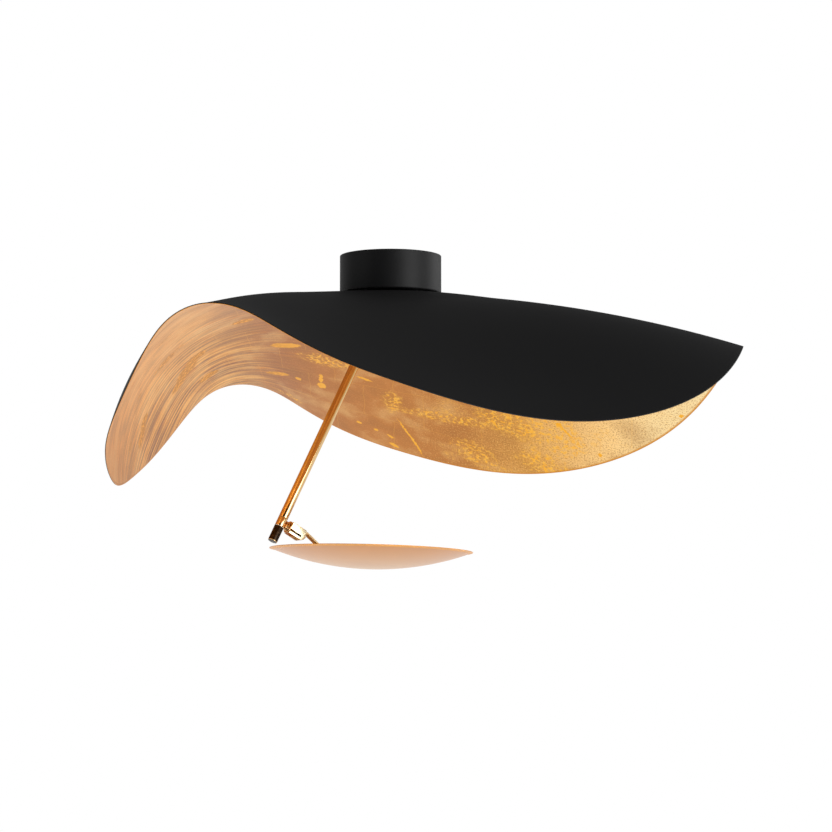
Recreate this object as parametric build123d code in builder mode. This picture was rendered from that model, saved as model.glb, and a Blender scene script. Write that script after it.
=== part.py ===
from build123d import *
from math import asin, ceil, copysign, cos, degrees, hypot, pi, radians, sin, sqrt, tan
import os

os.makedirs("parts", exist_ok=True)

# Wavy ceiling light, millimetres. The ceiling is the plane z = 0 and the lamp hangs below it.
# +X points to the raised nose of the shade, +Y to the back, and the hub is on the Z axis.

# Ceiling bracket and cup
cup_diameter = 130
cup_height = 50
cup_wall = 1.5
cup_floor_round = 2.5
cup_lip_round = 0.6
bracket_thickness = 2
bracket_width = 26
bracket_ear_drop = 15
bracket_clearance = 0.5
ceiling_hole_spacing = 80
ceiling_hole_diameter = 5.5
cable_entry_diameter = 14
side_screw_diameter = 4
side_screw_length = 6
side_screw_depth = 9
thread_clearance = 0.04
screw_hole_clearance = 0.3
earth_screw_offset = 24
earth_head_radius = 4
earth_head_height = 2.5
screw_tip_gap = 0.5

# Driver and terminal block in the cup
driver_length = 76
driver_width = 28
driver_height = 22
driver_inner_face = 17
driver_round = 3
pad_thickness = 1
pad_margin = 6
terminal_length = 30
terminal_width = 17
terminal_height = 15
terminal_inner_face = 20
terminal_poles = 3
terminal_base_height = 10.5
terminal_barrel_radius = 3.8
terminal_wire_level = 4.5
terminal_screw_radius = 2
terminal_screw_depth = 9
terminal_screw_length = 7.5
lead_diameter = 3

# Hollow threaded tube that carries the shade, with its nuts and plates
nipple_diameter = 10
nipple_bore = 7
nipple_top_stand = 3
nut_width = 14
nut_height = 4
tooth_washer_diameter = 20
tooth_washer_thickness = 1
seat_plate_diameter = 60
top_plate_thickness = 4
bottom_plate_thickness = 3

# Wavy sheet: a round blank with an off-centre hole, rolled down behind and bent over a ridge in front.
# Its finish is the lacquer above and the metal leaf below, as thick as the gap to the plates.
blank_diameter = 950
hole_offset = 20
sheet_thickness = 1.5
sheet_finish = 0.02
tail_roll = 93
tail_roll_start = 75
tail_roll_span = 470
nose_droop = 17
flat_seat_radius = 45
seat_blend_radius = 150
bend_half_width = 125
# Along the ridge from tail to nose: distance from the hub, bend radius across, lean of that bend in degrees
ridge_stations = [
    (-495, 750, 16),
    (-420, 485, 18),
    (-300, 845, 40),
    (-150, 415, 9),
    (0, 245, 1),
    (200, 170, 2),
    (455, 140, 8),
]
ring_points = 64
ring_shares = [0, 0.03, 0.055, 0.08, 0.11, 0.15, 0.21, 0.29, 0.38, 0.48, 0.58, 0.68, 0.78, 0.89, 1]

# Swivel hub under the shade
hub_diameter = 40
hub_height = 26
hub_roof = 6
hub_cavity_diameter = 26
hub_edge_round = 1.5
hub_washer_diameter = 24
hub_washer_thickness = 1
hub_cap_thickness = 3
coin_slot = (13, 2, 1)
coin_slot_round = 0.8
running_clearance = 0.05
face_gap = 0.1
retainer_diameter = 20
retainer_thickness = 1.5

# Arm: a slanting tube on a pivot at the side of the hub
arm_azimuth = 214
arm_lean = 28
pivot_reach = 30
pivot_drop = 8.5
ear_radius = 9
ear_thickness = 4
ear_height = 20
ear_bite = 1
ear_arc_start = -132
ear_arc_sweep = 160
tongue_thickness = 6
tongue_gap = 0.2
tongue_eye_radius = 8
tongue_neck_width = 10
pivot_screw_diameter = 5
pivot_head_diameter = 9
pivot_head_height = 3
pivot_nut_width = 8
pivot_nut_height = 3.5
rod_length = 310
rod_diameter = 12
rod_wall = 1
tube_start = 16
collar_length = 3
plug_length = 15
plug_clearance = 0.03
lead_overlap = 2

# Swivel sleeve, end stub and clamp block at the lower end of the arm
sleeve_height = 12
sleeve_axis_above_end = 27
spigot_diameter = 7
stub_washer_thickness = 0.5
stub_edge_chamfer = 0.4
spigot_stand = 4
flange_thickness = 1.8
neck_face_gap = 0.2
bead_root = 1
neck_diameter = 8
bead_diameters = (11, 12.4)
neck_flange_diameter = 16
block_start = 13
block_length = 22
block_width = 15
block_depth = 12
block_end_round = 4
shaft_engagement = 11.5
clamp_slot_width = 2.8
clamp_slot_offset = 3
clamp_slot_length = 17
small_screw_diameter = 3
small_head_diameter = 5.5
small_head_height = 1.8
drive_share = 0.35
clamp_screw_place = 14.5
clamp_screw_length = 11
block_screw_rise = 1.5
block_screw_length = 5.5
block_edge_chamfer = 0.4

# Disc and its bracket
disc_diameter = 258
disc_depth = 24
disc_reach = 29
disc_drop = 378
disc_lean = 1.4
dish_wall = 1.5
dish_rim_width = 3
plate_recess = 1.5
plate_thickness = 2
plate_edge_gap = 0.3
plate_screw_radius = 96
plate_screw_azimuths = [34, 154, 274]
plate_screw_length = 6
boss_diameter = 8
bracket_strip_thickness = 2
bracket_strip_width = 9
foot_landing = 102.5
foot_length = 24
foot_trim = 0.4
bracket_fold_radius = 2.6
foot_screw_margin = 4
foot_screw_spacing = 8
foot_screw_length = 5
board_diameter = 118
board_hole_diameter = 24
board_thickness = 1.6
board_screw_radius = 18.5
board_screw_count = 3
board_screw_length = 3.4
chip_size = 3
chip_height = 0.8
chip_rings = [(24, 8), (36, 12), (48, 16)]
diffuser_diameter = 130
diffuser_wall = 2
diffuser_height = 6.5
diffuser_crown = 1.5
diffuser_flange_width = 1.5
diffuser_flange_thickness = 1
bezel_width = 7
bezel_height = 2
bezel_screw_count = 4
bezel_screw_length = 4

# Levels down the hub axis
cup_floor_top = -cup_height + cup_wall
sheet_top = -cup_height - top_plate_thickness
sheet_bottom = sheet_top - sheet_thickness - 2 * sheet_finish
sheet_middle = (sheet_top + sheet_bottom) / 2
bottom_plate_base = sheet_bottom - bottom_plate_thickness
lower_nut_base = bottom_plate_base - nut_height
hub_top = lower_nut_base - hub_washer_thickness
hub_roof_base = hub_top - hub_roof
hub_base = hub_top - hub_height
retainer_base = hub_roof_base - face_gap - retainer_thickness
retainer_nut_base = retainer_base - nut_height
nipple_top = cup_floor_top + tooth_washer_thickness + nut_height + nipple_top_stand
nipple_base = retainer_nut_base - nipple_top_stand
nipple_radius = nipple_diameter / 2
nipple_hole_radius = nipple_radius + screw_hole_clearance


def save(piece, name):
    piece.part.label = name
    export_step(piece.part, "parts/" + name + ".step")


def ring(plane, start, end, outer_radius, inner_radius):
    """A plain washer or tube that runs from start to end along the plane's normal."""
    with BuildPart() as piece:
        with BuildSketch(plane.offset(start)):
            Circle(outer_radius)
            if inner_radius > 0:
                Circle(inner_radius, mode=Mode.SUBTRACT)
        extrude(amount=end - start)
    return piece


def hex_nut(plane, start, end, width, bore_radius):
    with BuildPart() as piece:
        with BuildSketch(plane.offset(start)):
            RegularPolygon(width / 2, 6, major_radius=False)
            Circle(bore_radius, mode=Mode.SUBTRACT)
        extrude(amount=end - start)
    return piece


def screws(planes, head_radius, head_height, shank_radius, length, drive_radius, drive_depth):
    """Round-headed screws: each plane lies under the head, and its normal points out of the head."""
    with BuildPart() as piece:
        for plane in planes:
            with BuildSketch(plane):
                Circle(head_radius)
            extrude(amount=head_height)
            with BuildSketch(plane):
                Circle(shank_radius)
            extrude(amount=-length)
            with BuildSketch(plane.offset(head_height)):
                RegularPolygon(drive_radius, 6)
            extrude(amount=-drive_depth, mode=Mode.SUBTRACT)
    return piece


# Ceiling bracket: a steel strap with its two ends folded down for the side screws
bracket_half = cup_diameter / 2 - cup_wall - bracket_clearance
with BuildPart() as ceiling_bracket:
    with BuildSketch(Plane.XZ):
        with BuildLine():
            Polyline(
                (-bracket_half, -bracket_ear_drop),
                (-bracket_half, 0),
                (bracket_half, 0),
                (bracket_half, -bracket_ear_drop),
                (bracket_half - bracket_thickness, -bracket_ear_drop),
                (bracket_half - bracket_thickness, -bracket_thickness),
                (-bracket_half + bracket_thickness, -bracket_thickness),
                (-bracket_half + bracket_thickness, -bracket_ear_drop),
                close=True,
            )
        make_face()
    extrude(amount=bracket_width / 2, both=True)
    with BuildSketch(Plane.XY):
        Circle(bracket_half)
    extrude(amount=-cup_height, mode=Mode.INTERSECT)
    with BuildSketch(Plane.XY):
        with GridLocations(ceiling_hole_spacing, 1, 2, 1):
            Circle(ceiling_hole_diameter / 2)
        Circle(cable_entry_diameter / 2)
        with Locations((earth_screw_offset, 0)):
            Circle(side_screw_diameter / 2)
    extrude(amount=-bracket_thickness, mode=Mode.SUBTRACT)
    with BuildSketch(Plane.YZ.offset(-cup_diameter)):
        with Locations((0, -side_screw_depth)):
            Circle(side_screw_diameter / 2)
    extrude(amount=2 * cup_diameter, mode=Mode.SUBTRACT)
save(ceiling_bracket, "ceiling_bracket")

# Earth screw under the strap, with its head below
earth_plane = Plane((earth_screw_offset, 0, -bracket_thickness), z_dir=(0, 0, -1))
earth_screw = screws(
    [earth_plane],
    head_radius=earth_head_radius,
    head_height=earth_head_height,
    shank_radius=side_screw_diameter / 2 - thread_clearance,
    length=bracket_thickness,
    drive_radius=earth_head_radius * drive_share,
    drive_depth=earth_head_height / 2,
)
save(earth_screw, "earth_screw")

# Ceiling cup: a deep-drawn steel cup with a flat floor and a thin open lip
with BuildPart() as ceiling_cup:
    with BuildSketch(Plane.XY):
        Circle(cup_diameter / 2)
    extrude(amount=-cup_height)
    fillet(ceiling_cup.edges().group_by(Axis.Z)[0], cup_floor_round)
    fillet(ceiling_cup.edges().group_by(Axis.Z)[-1], cup_lip_round)
    with BuildSketch(Plane.XY.offset(cup_floor_top)):
        Circle(cup_diameter / 2 - cup_wall)
    extrude(amount=cup_height, mode=Mode.SUBTRACT)
    cup_floor = ceiling_cup.faces().filter_by(Plane.XY).sort_by(Axis.Z)[1]
    fillet(cup_floor.outer_wire().edges(), cup_floor_round - cup_wall)
    with BuildSketch(Plane.XY.offset(cup_floor_top)):
        Circle(nipple_hole_radius)
    extrude(amount=-cup_wall, mode=Mode.SUBTRACT)
    with BuildSketch(Plane.YZ.offset(-cup_diameter)):
        with Locations((0, -side_screw_depth)):
            Circle(side_screw_diameter / 2 + screw_hole_clearance)
    extrude(amount=2 * cup_diameter, mode=Mode.SUBTRACT)
save(ceiling_cup, "ceiling_cup")

# Two headless side screws, flush with the cup, threaded into the bracket's ears
with BuildPart() as cup_screws:
    for side in (-1, 1):
        screw_end = side * (cup_diameter / 2 - screw_tip_gap)
        screw_plane = Plane((screw_end, 0, -side_screw_depth), z_dir=(side, 0, 0))
        with BuildSketch(screw_plane):
            Circle(side_screw_diameter / 2 - thread_clearance)
        extrude(amount=-side_screw_length)
        with BuildSketch(screw_plane):
            RegularPolygon(side_screw_diameter / 4, 6)
        extrude(amount=-side_screw_length / 3, mode=Mode.SUBTRACT)
save(cup_screws, "cup_screws")

# Driver on a foam pad, at the back of the cup floor
driver_middle = driver_inner_face + driver_width / 2
with BuildPart() as driver_pad:
    with BuildSketch(Plane.XY.offset(cup_floor_top)):
        with Locations((0, driver_middle)):
            Rectangle(driver_length - 2 * pad_margin, driver_width - 2 * pad_margin)
    extrude(amount=pad_thickness)
save(driver_pad, "driver_pad")

driver_base = cup_floor_top + pad_thickness
lead_height = driver_base + driver_height / 2
with BuildPart() as led_driver:
    with BuildSketch(Plane.XY.offset(driver_base)):
        with Locations((0, driver_middle)):
            RectangleRounded(driver_length, driver_width, driver_round)
    extrude(amount=driver_height)
    fillet(led_driver.edges().group_by(Axis.Z)[-1], driver_round / 2)
    with BuildSketch(Plane.YZ.offset(driver_length / 2)):
        with Locations((driver_middle, lead_height)):
            Circle(lead_diameter / 2 + screw_hole_clearance)
    extrude(amount=-2 * lead_diameter, mode=Mode.SUBTRACT)
save(led_driver, "led_driver")

# Terminal block in front of the hub axis, with a screw over each pole and wire mouths on both sides
terminal_pitch = terminal_length / terminal_poles
terminal_middle = -terminal_inner_face - terminal_width / 2
terminal_top = cup_floor_top + terminal_height
with BuildPart() as terminal_block:
    with BuildSketch(Plane.XY.offset(cup_floor_top)):
        with Locations((0, terminal_middle)):
            Rectangle(terminal_length, terminal_width)
    extrude(amount=terminal_base_height)
    with BuildSketch(Plane.XY.offset(cup_floor_top + terminal_base_height)):
        with Locations((0, terminal_middle)):
            with GridLocations(terminal_pitch, terminal_width / 2, terminal_poles, 2):
                Circle(terminal_barrel_radius)
    extrude(amount=terminal_height - terminal_base_height)
    with BuildSketch(Plane.XY.offset(terminal_top)):
        with Locations((0, terminal_middle)):
            with GridLocations(terminal_pitch, terminal_width / 2, terminal_poles, 2):
                Circle(terminal_screw_radius + screw_hole_clearance)
    extrude(amount=-terminal_screw_depth, mode=Mode.SUBTRACT)
    with BuildSketch(Plane.XZ.offset(-terminal_middle)):
        with Locations((0, cup_floor_top + terminal_wire_level)):
            with GridLocations(terminal_pitch, 1, terminal_poles, 1):
                Circle(lead_diameter / 2 + screw_hole_clearance)
    extrude(amount=terminal_width, both=True, mode=Mode.SUBTRACT)
save(terminal_block, "terminal_block")

with BuildPart() as terminal_screws:
    with BuildSketch(Plane.XY.offset(terminal_top - terminal_screw_depth)):
        with Locations((0, terminal_middle)):
            with GridLocations(terminal_pitch, terminal_width / 2, terminal_poles, 2):
                Circle(terminal_screw_radius)
    extrude(amount=terminal_screw_length)
save(terminal_screws, "terminal_screws")

# Hollow threaded tube with its nut and washer on the cup floor
nipple = ring(Plane.XY, nipple_base, nipple_top, nipple_radius, nipple_bore / 2)
save(nipple, "nipple")
tooth_washer_top = cup_floor_top + tooth_washer_thickness
tooth_washer = ring(Plane.XY, cup_floor_top, tooth_washer_top, tooth_washer_diameter / 2, nipple_hole_radius)
save(tooth_washer, "tooth_washer")
threaded_radius = nipple_radius + thread_clearance
upper_nut = hex_nut(Plane.XY, tooth_washer_top, tooth_washer_top + nut_height, nut_width, threaded_radius)
save(upper_nut, "upper_nut")

# Lead from the driver over the nut and down the hollow tube
lead_start = driver_length / 2 - lead_diameter
lead_route = [
    (lead_start, driver_middle, lead_height),
    (lead_start + 10, driver_middle, lead_height),
    (lead_start + 19, driver_middle - 9, lead_height + 3),
    (lead_start + 15, driver_middle - 24, lead_height + 8),
    (lead_start, driver_middle - 32, lead_height + 15),
    (lead_start - 17, -1, lead_height + 22),
    (5, -1, lead_height + 22),
    (0, 0, lead_height + 6),
    (0, 0, hub_roof_base),
]


def easy_radii(route):
    """One bend radius for each inner point, as large as its two runs allow."""
    radii = []
    for before, here, after in zip(route, route[1:], route[2:]):
        run_in = Vector(*here) - Vector(*before)
        run_out = Vector(*after) - Vector(*here)
        half_turn = radians(run_in.get_angle(run_out)) / 2
        radii.append(0.45 * min(run_in.length, run_out.length) / tan(half_turn))
    return radii


with BuildPart() as driver_lead:
    with BuildLine() as lead_line:
        FilletPolyline(*lead_route, radius=easy_radii(lead_route))
    lead_path = lead_line.wire()
    with BuildSketch(Plane(lead_path @ 0, z_dir=lead_path % 0)):
        Circle(lead_diameter / 2)
    sweep(path=lead_path)
print("driver lead bend radii", [round(radius, 1) for radius in easy_radii(lead_route)])
lead_volume = lead_path.length * pi * lead_diameter**2 / 4
print("driver lead volume ratio", round(driver_lead.part.volume / lead_volume, 3))
save(driver_lead, "driver_lead")

# Plates that hold the sheet between them
seat_plate_radius = seat_plate_diameter / 2
top_plate = ring(Plane.XY, sheet_top, -cup_height, seat_plate_radius, nipple_hole_radius)
save(top_plate, "top_plate")
bottom_plate = ring(Plane.XY, bottom_plate_base, sheet_bottom, seat_plate_radius, nipple_hole_radius)
save(bottom_plate, "bottom_plate")
lower_nut = hex_nut(Plane.XY, lower_nut_base, bottom_plate_base, nut_width, threaded_radius)
save(lower_nut, "lower_nut")


# Wavy sheet. A point of the flat blank is named by its distances from the hub along and across the ridge.
def through(places, values):
    """A natural cubic curve through the given values, level beyond its ends, as a function of place."""
    last = len(places) - 1
    gaps = [places[i + 1] - places[i] for i in range(last)]
    rises = [(values[i + 1] - values[i]) / gaps[i] for i in range(last)]
    diagonal = [1] + [2 * (gaps[i - 1] + gaps[i]) for i in range(1, last)] + [1]
    curves = [0] + [6 * (rises[i] - rises[i - 1]) for i in range(1, last)] + [0]
    for i in range(2, last):
        share = gaps[i - 1] / diagonal[i - 1]
        diagonal[i] -= share * gaps[i - 1]
        curves[i] -= share * curves[i - 1]
    for i in range(last - 1, 0, -1):
        curves[i] = (curves[i] - gaps[i] * curves[i + 1]) / diagonal[i]

    def value(place):
        place = min(places[-1], max(places[0], place))
        i = 0
        while i < last - 1 and place > places[i + 1]:
            i += 1
        after = places[i + 1] - place
        before = place - places[i]
        bend = (curves[i] * after**3 + curves[i + 1] * before**3) / (6 * gaps[i])
        left = values[i] / gaps[i] - curves[i] * gaps[i] / 6
        right = values[i + 1] / gaps[i] - curves[i + 1] * gaps[i] / 6
        return bend + left * after + right * before

    return value


station_places = [place for place, bend_radius, lean in ridge_stations]
bend_at = through(station_places, [1 / bend_radius for place, bend_radius, lean in ridge_stations])
lean_at = through(station_places, [lean for place, bend_radius, lean in ridge_stations])
blank_radius = blank_diameter / 2
nose_length = blank_radius - hole_offset
march_step = 5
section_steps = 12


def smooth_step(share):
    share = min(1, max(0, share))
    return share * share * (3 - 2 * share)


def ridge_slope(along):
    """Slope of the ridge in radians, measured along +X: it climbs from the tail and droops at the nose."""
    tail_share = smooth_step((-along - tail_roll_start) / tail_roll_span)
    nose_share = max(0, along / nose_length)
    return radians(nose_droop * nose_share - tail_roll * tail_share)


def ridge_point(along):
    steps = max(1, ceil(abs(along) / march_step))
    step = along / steps
    slopes = [ridge_slope((i + 0.5) * step) for i in range(steps)]
    return step * sum(cos(slope) for slope in slopes), -step * sum(sin(slope) for slope in slopes)


def sheet_middle_point(along, across):
    """Where a point of the flat blank lies on the bent sheet's middle surface, from the hub seat."""
    x, z = ridge_point(along)
    bend = bend_at(along)
    lean = radians(lean_at(along))
    step = abs(across) / section_steps
    shares = [((i + 0.5) * step / bend_half_width) ** 2 for i in range(section_steps)]
    turns = [bend * bend_half_width * share / (1 + share) for share in shares]
    width = step * sum(cos(turn) for turn in turns)
    drop = step * sum(sin(turn) for turn in turns)
    x += drop * sin(lean)
    z -= drop * cos(lean)
    bent = smooth_step((hypot(along, across) - flat_seat_radius) / (seat_blend_radius - flat_seat_radius))
    y = across + (copysign(width, across) - across) * bent
    return Vector(along + (x - along) * bent, y, z * bent)


def sheet_normal(along, across):
    reach = 0.5
    ridgeward = sheet_middle_point(along + reach, across) - sheet_middle_point(along - reach, across)
    crossward = sheet_middle_point(along, across + reach) - sheet_middle_point(along, across - reach)
    return ridgeward.cross(crossward).normalized()


def sheet_ring(share, side):
    """A closed curve on the sheet's top (side 1) or underside (side -1): share 0 is the hole, 1 the rim."""
    radius = nipple_hole_radius + (blank_radius - nipple_hole_radius) * share
    points = []
    for i in range(ring_points):
        angle = 2 * pi * i / ring_points
        along = radius * cos(angle) - hole_offset * share
        across = radius * sin(angle)
        rise = sheet_normal(along, across) * (side * sheet_thickness / 2)
        points.append(sheet_middle_point(along, across) + rise + Vector(0, 0, sheet_middle))
    with BuildLine() as curve:
        Spline(*points, periodic=True)
    return curve.wire()


top_rings = [sheet_ring(share, 1) for share in ring_shares]
under_rings = [sheet_ring(share, -1) for share in ring_shares]
with BuildPart() as shade_sheet:
    skins = [
        Shell.make_loft(top_rings),
        Shell.make_loft(under_rings),
        Shell.make_loft([top_rings[-1], under_rings[-1]], ruled=True),
        Shell.make_loft([top_rings[0], under_rings[0]], ruled=True),
    ]
    add(Solid(Shell([face for skin in skins for face in skin.faces()])))
save(shade_sheet, "shade_sheet")

# Swivel hub: a turned body that hangs on the hollow tube and turns round it, with two ears for the arm
hub_washer = ring(Plane.XY, hub_top, lower_nut_base, hub_washer_diameter / 2, nipple_hole_radius)
save(hub_washer, "hub_washer")
outward = Vector(cos(radians(arm_azimuth)), sin(radians(arm_azimuth)), 0)
across_arm = Vector(0, 0, 1).cross(outward)
arm_side = Plane((0, 0, 0), x_dir=outward, z_dir=-across_arm)
pivot_level = hub_base - pivot_drop
ear_inner = tongue_thickness / 2 + tongue_gap
ear_root = (hub_diameter + hub_cavity_diameter) / 4 - ear_bite
with BuildPart() as swivel_hub:
    with BuildSketch(Plane.XY.offset(hub_base)):
        Circle(hub_diameter / 2)
    extrude(amount=hub_height)
    fillet(swivel_hub.edges().group_by(Axis.Z)[-1], hub_edge_round)
    for face_place in (ear_inner, -ear_inner - ear_thickness):
        with BuildSketch(arm_side.offset(face_place)):
            with BuildLine():
                Line((ear_root, hub_base + ear_height), (ear_root, hub_base))
                tip = CenterArc((pivot_reach, pivot_level), ear_radius, ear_arc_start, ear_arc_sweep)
                Line((ear_root, hub_base), tip @ 0)
                Line((ear_root, hub_base + ear_height), tip @ 1)
            make_face()
        extrude(amount=ear_thickness)
    with BuildSketch(Plane.XY.offset(hub_base)):
        Circle(hub_cavity_diameter / 2)
    extrude(amount=hub_height - hub_roof, mode=Mode.SUBTRACT)
    with BuildSketch(Plane.XY.offset(hub_roof_base)):
        Circle(nipple_radius + running_clearance)
    extrude(amount=hub_roof, mode=Mode.SUBTRACT)
    with BuildSketch(arm_side.offset(-hub_diameter)):
        with Locations((pivot_reach, pivot_level)):
            Circle(pivot_screw_diameter / 2 + running_clearance)
    extrude(amount=2 * hub_diameter, mode=Mode.SUBTRACT)
save(swivel_hub, "swivel_hub")

retainer_top = retainer_base + retainer_thickness
retainer_washer = ring(Plane.XY, retainer_base, retainer_top, retainer_diameter / 2, nipple_hole_radius)
save(retainer_washer, "retainer_washer")
retainer_nut = hex_nut(Plane.XY, retainer_nut_base, retainer_base, nut_width, threaded_radius)
save(retainer_nut, "retainer_nut")

# Hub cover, pressed into the mouth of the cavity
with BuildPart() as hub_cover:
    with BuildSketch(Plane.XY.offset(hub_base)):
        Circle(hub_cavity_diameter / 2 - plug_clearance)
    extrude(amount=hub_cap_thickness)
    with BuildSketch(Plane.XY.offset(hub_base)):
        RectangleRounded(coin_slot[0], coin_slot[1], coin_slot_round)
    extrude(amount=coin_slot[2], mode=Mode.SUBTRACT)
save(hub_cover, "hub_cover")

# Arm frame: the origin on the pivot, local Z down the rod, local X inward and down, local Y across the arm
pivot_point = outward * pivot_reach + Vector(0, 0, pivot_level)
rod_direction = outward * sin(radians(arm_lean)) - Vector(0, 0, cos(radians(arm_lean)))
inward_down = outward * -cos(radians(arm_lean)) - Vector(0, 0, sin(radians(arm_lean)))
arm_plane = Plane(pivot_point, x_dir=inward_down, z_dir=rod_direction)
arm_section = Plane(pivot_point, x_dir=inward_down, z_dir=across_arm * -1)
pivot_side = Plane(pivot_point, x_dir=outward, z_dir=across_arm)
tube_radius = rod_diameter / 2
tube_bore = tube_radius - rod_wall
sleeve_middle = rod_length - sleeve_axis_above_end
sleeve_top = sleeve_middle - sleeve_height / 2
tube_end = sleeve_top - face_gap

# Pivot screw and nut through the ears
ear_outer = ear_inner + ear_thickness
pivot_screw = screws(
    [pivot_side.offset(ear_outer)],
    head_radius=pivot_head_diameter / 2,
    head_height=pivot_head_height,
    shank_radius=pivot_screw_diameter / 2,
    length=2 * ear_outer + pivot_nut_height,
    drive_radius=pivot_head_diameter / 2 * drive_share,
    drive_depth=pivot_head_height / 2,
)
save(pivot_screw, "pivot_screw")
pivot_nut_plane = Plane(pivot_point, x_dir=outward, z_dir=across_arm * -1)
pivot_nut = hex_nut(
    pivot_nut_plane,
    ear_outer,
    ear_outer + pivot_nut_height,
    pivot_nut_width,
    pivot_screw_diameter / 2 + thread_clearance,
)
save(pivot_nut, "pivot_nut")

# Arm tongue: an eye on the pivot, a flat neck, a round collar and a plug in the tube
with BuildPart() as arm_tongue:
    with BuildSketch(Plane(pivot_point, x_dir=rod_direction, z_dir=across_arm)):
        Circle(tongue_eye_radius)
        with Locations((tube_start / 2, 0)):
            Rectangle(tube_start, tongue_neck_width)
        Circle(pivot_screw_diameter / 2 + running_clearance, mode=Mode.SUBTRACT)
    extrude(amount=tongue_thickness / 2, both=True)
    with BuildSketch(arm_plane.offset(tube_start - collar_length)):
        Circle(tube_radius)
    extrude(amount=collar_length)
    with BuildSketch(arm_plane.offset(tube_start)):
        Circle(tube_bore - plug_clearance)
    extrude(amount=plug_length)
    with BuildSketch(arm_plane.offset(tube_start - collar_length)):
        Circle(lead_diameter / 2 + screw_hole_clearance)
    extrude(amount=collar_length + plug_length, mode=Mode.SUBTRACT)
save(arm_tongue, "arm_tongue")

arm_tube = ring(arm_plane, tube_start, tube_end, tube_radius, tube_bore)
save(arm_tube, "arm_tube")
end_plug_start = tube_end - plug_length
with BuildPart() as end_plug:
    with BuildSketch(arm_plane.offset(end_plug_start)):
        Circle(tube_bore - plug_clearance)
        Circle(spigot_diameter / 2 + thread_clearance, mode=Mode.SUBTRACT)
    extrude(amount=plug_length)
save(end_plug, "end_plug")
arm_lead = ring(arm_plane, tube_start - collar_length, end_plug_start + lead_overlap, lead_diameter / 2, 0)
save(arm_lead, "arm_lead")

# End stub: a dark turned end piece whose spigot carries the sleeve and screws into the end plug
sleeve_end = sleeve_top + sleeve_height
stub_start = sleeve_end + stub_washer_thickness
spigot_start = end_plug_start + spigot_stand
with BuildPart() as end_stub:
    with BuildSketch(arm_plane.offset(stub_start)):
        Circle(tube_radius)
    extrude(amount=rod_length - stub_start)
    stub_tip = end_stub.faces().sort_by(Axis(pivot_point, rod_direction))[-1]
    chamfer(stub_tip.edges(), stub_edge_chamfer)
    with BuildSketch(arm_plane.offset(spigot_start)):
        Circle(spigot_diameter / 2)
    extrude(amount=stub_start - spigot_start)
save(end_stub, "end_stub")
spigot_hole_radius = spigot_diameter / 2 + running_clearance
stub_washer = ring(arm_plane, sleeve_end, stub_start, tube_radius, spigot_hole_radius)
save(stub_washer, "stub_washer")

# Swivel sleeve: turns on the spigot; its turned neck has two beads, a flange and a shaft for the clamp block
neck_plane = Plane(arm_plane.offset(sleeve_middle).origin, x_dir=across_arm, z_dir=inward_down)
neck_axis = Axis(neck_plane.origin, inward_down)
neck_section = Plane(neck_plane.origin, x_dir=inward_down, z_dir=across_arm * -1)
neck_radius = neck_diameter / 2
shaft_end = block_start + shaft_engagement
bead_length = (block_start - flange_thickness - neck_face_gap - tube_radius) / 2
flange_start = tube_radius + 2 * bead_length
with BuildPart() as swivel_sleeve:
    with BuildSketch(arm_plane.offset(sleeve_top)):
        Circle(tube_radius)
    extrude(amount=sleeve_height)
    with BuildSketch(neck_plane):
        Circle(neck_radius)
    extrude(amount=shaft_end)
    shaft_tip = swivel_sleeve.faces().sort_by(neck_axis)[-1]
    chamfer(shaft_tip.edges(), stub_edge_chamfer)
    for bead_start, bead_diameter in zip((tube_radius, tube_radius + bead_length), bead_diameters):
        with BuildSketch(neck_section):
            with BuildLine():
                bead_foot = (bead_start, neck_radius - bead_root)
                bead_crest = (bead_start + bead_length / 2, bead_diameter / 2)
                bead_heel = (bead_start + bead_length, neck_radius - bead_root)
                ThreePointArc(bead_foot, bead_crest, bead_heel)
                Line(bead_heel, bead_foot)
            make_face()
        revolve(axis=neck_axis)
    with BuildSketch(neck_plane.offset(flange_start)):
        Circle(neck_flange_diameter / 2)
    extrude(amount=flange_thickness)
    with BuildSketch(arm_plane.offset(sleeve_top)):
        Circle(spigot_hole_radius)
    extrude(amount=sleeve_height, mode=Mode.SUBTRACT)
save(swivel_sleeve, "swivel_sleeve")

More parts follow.
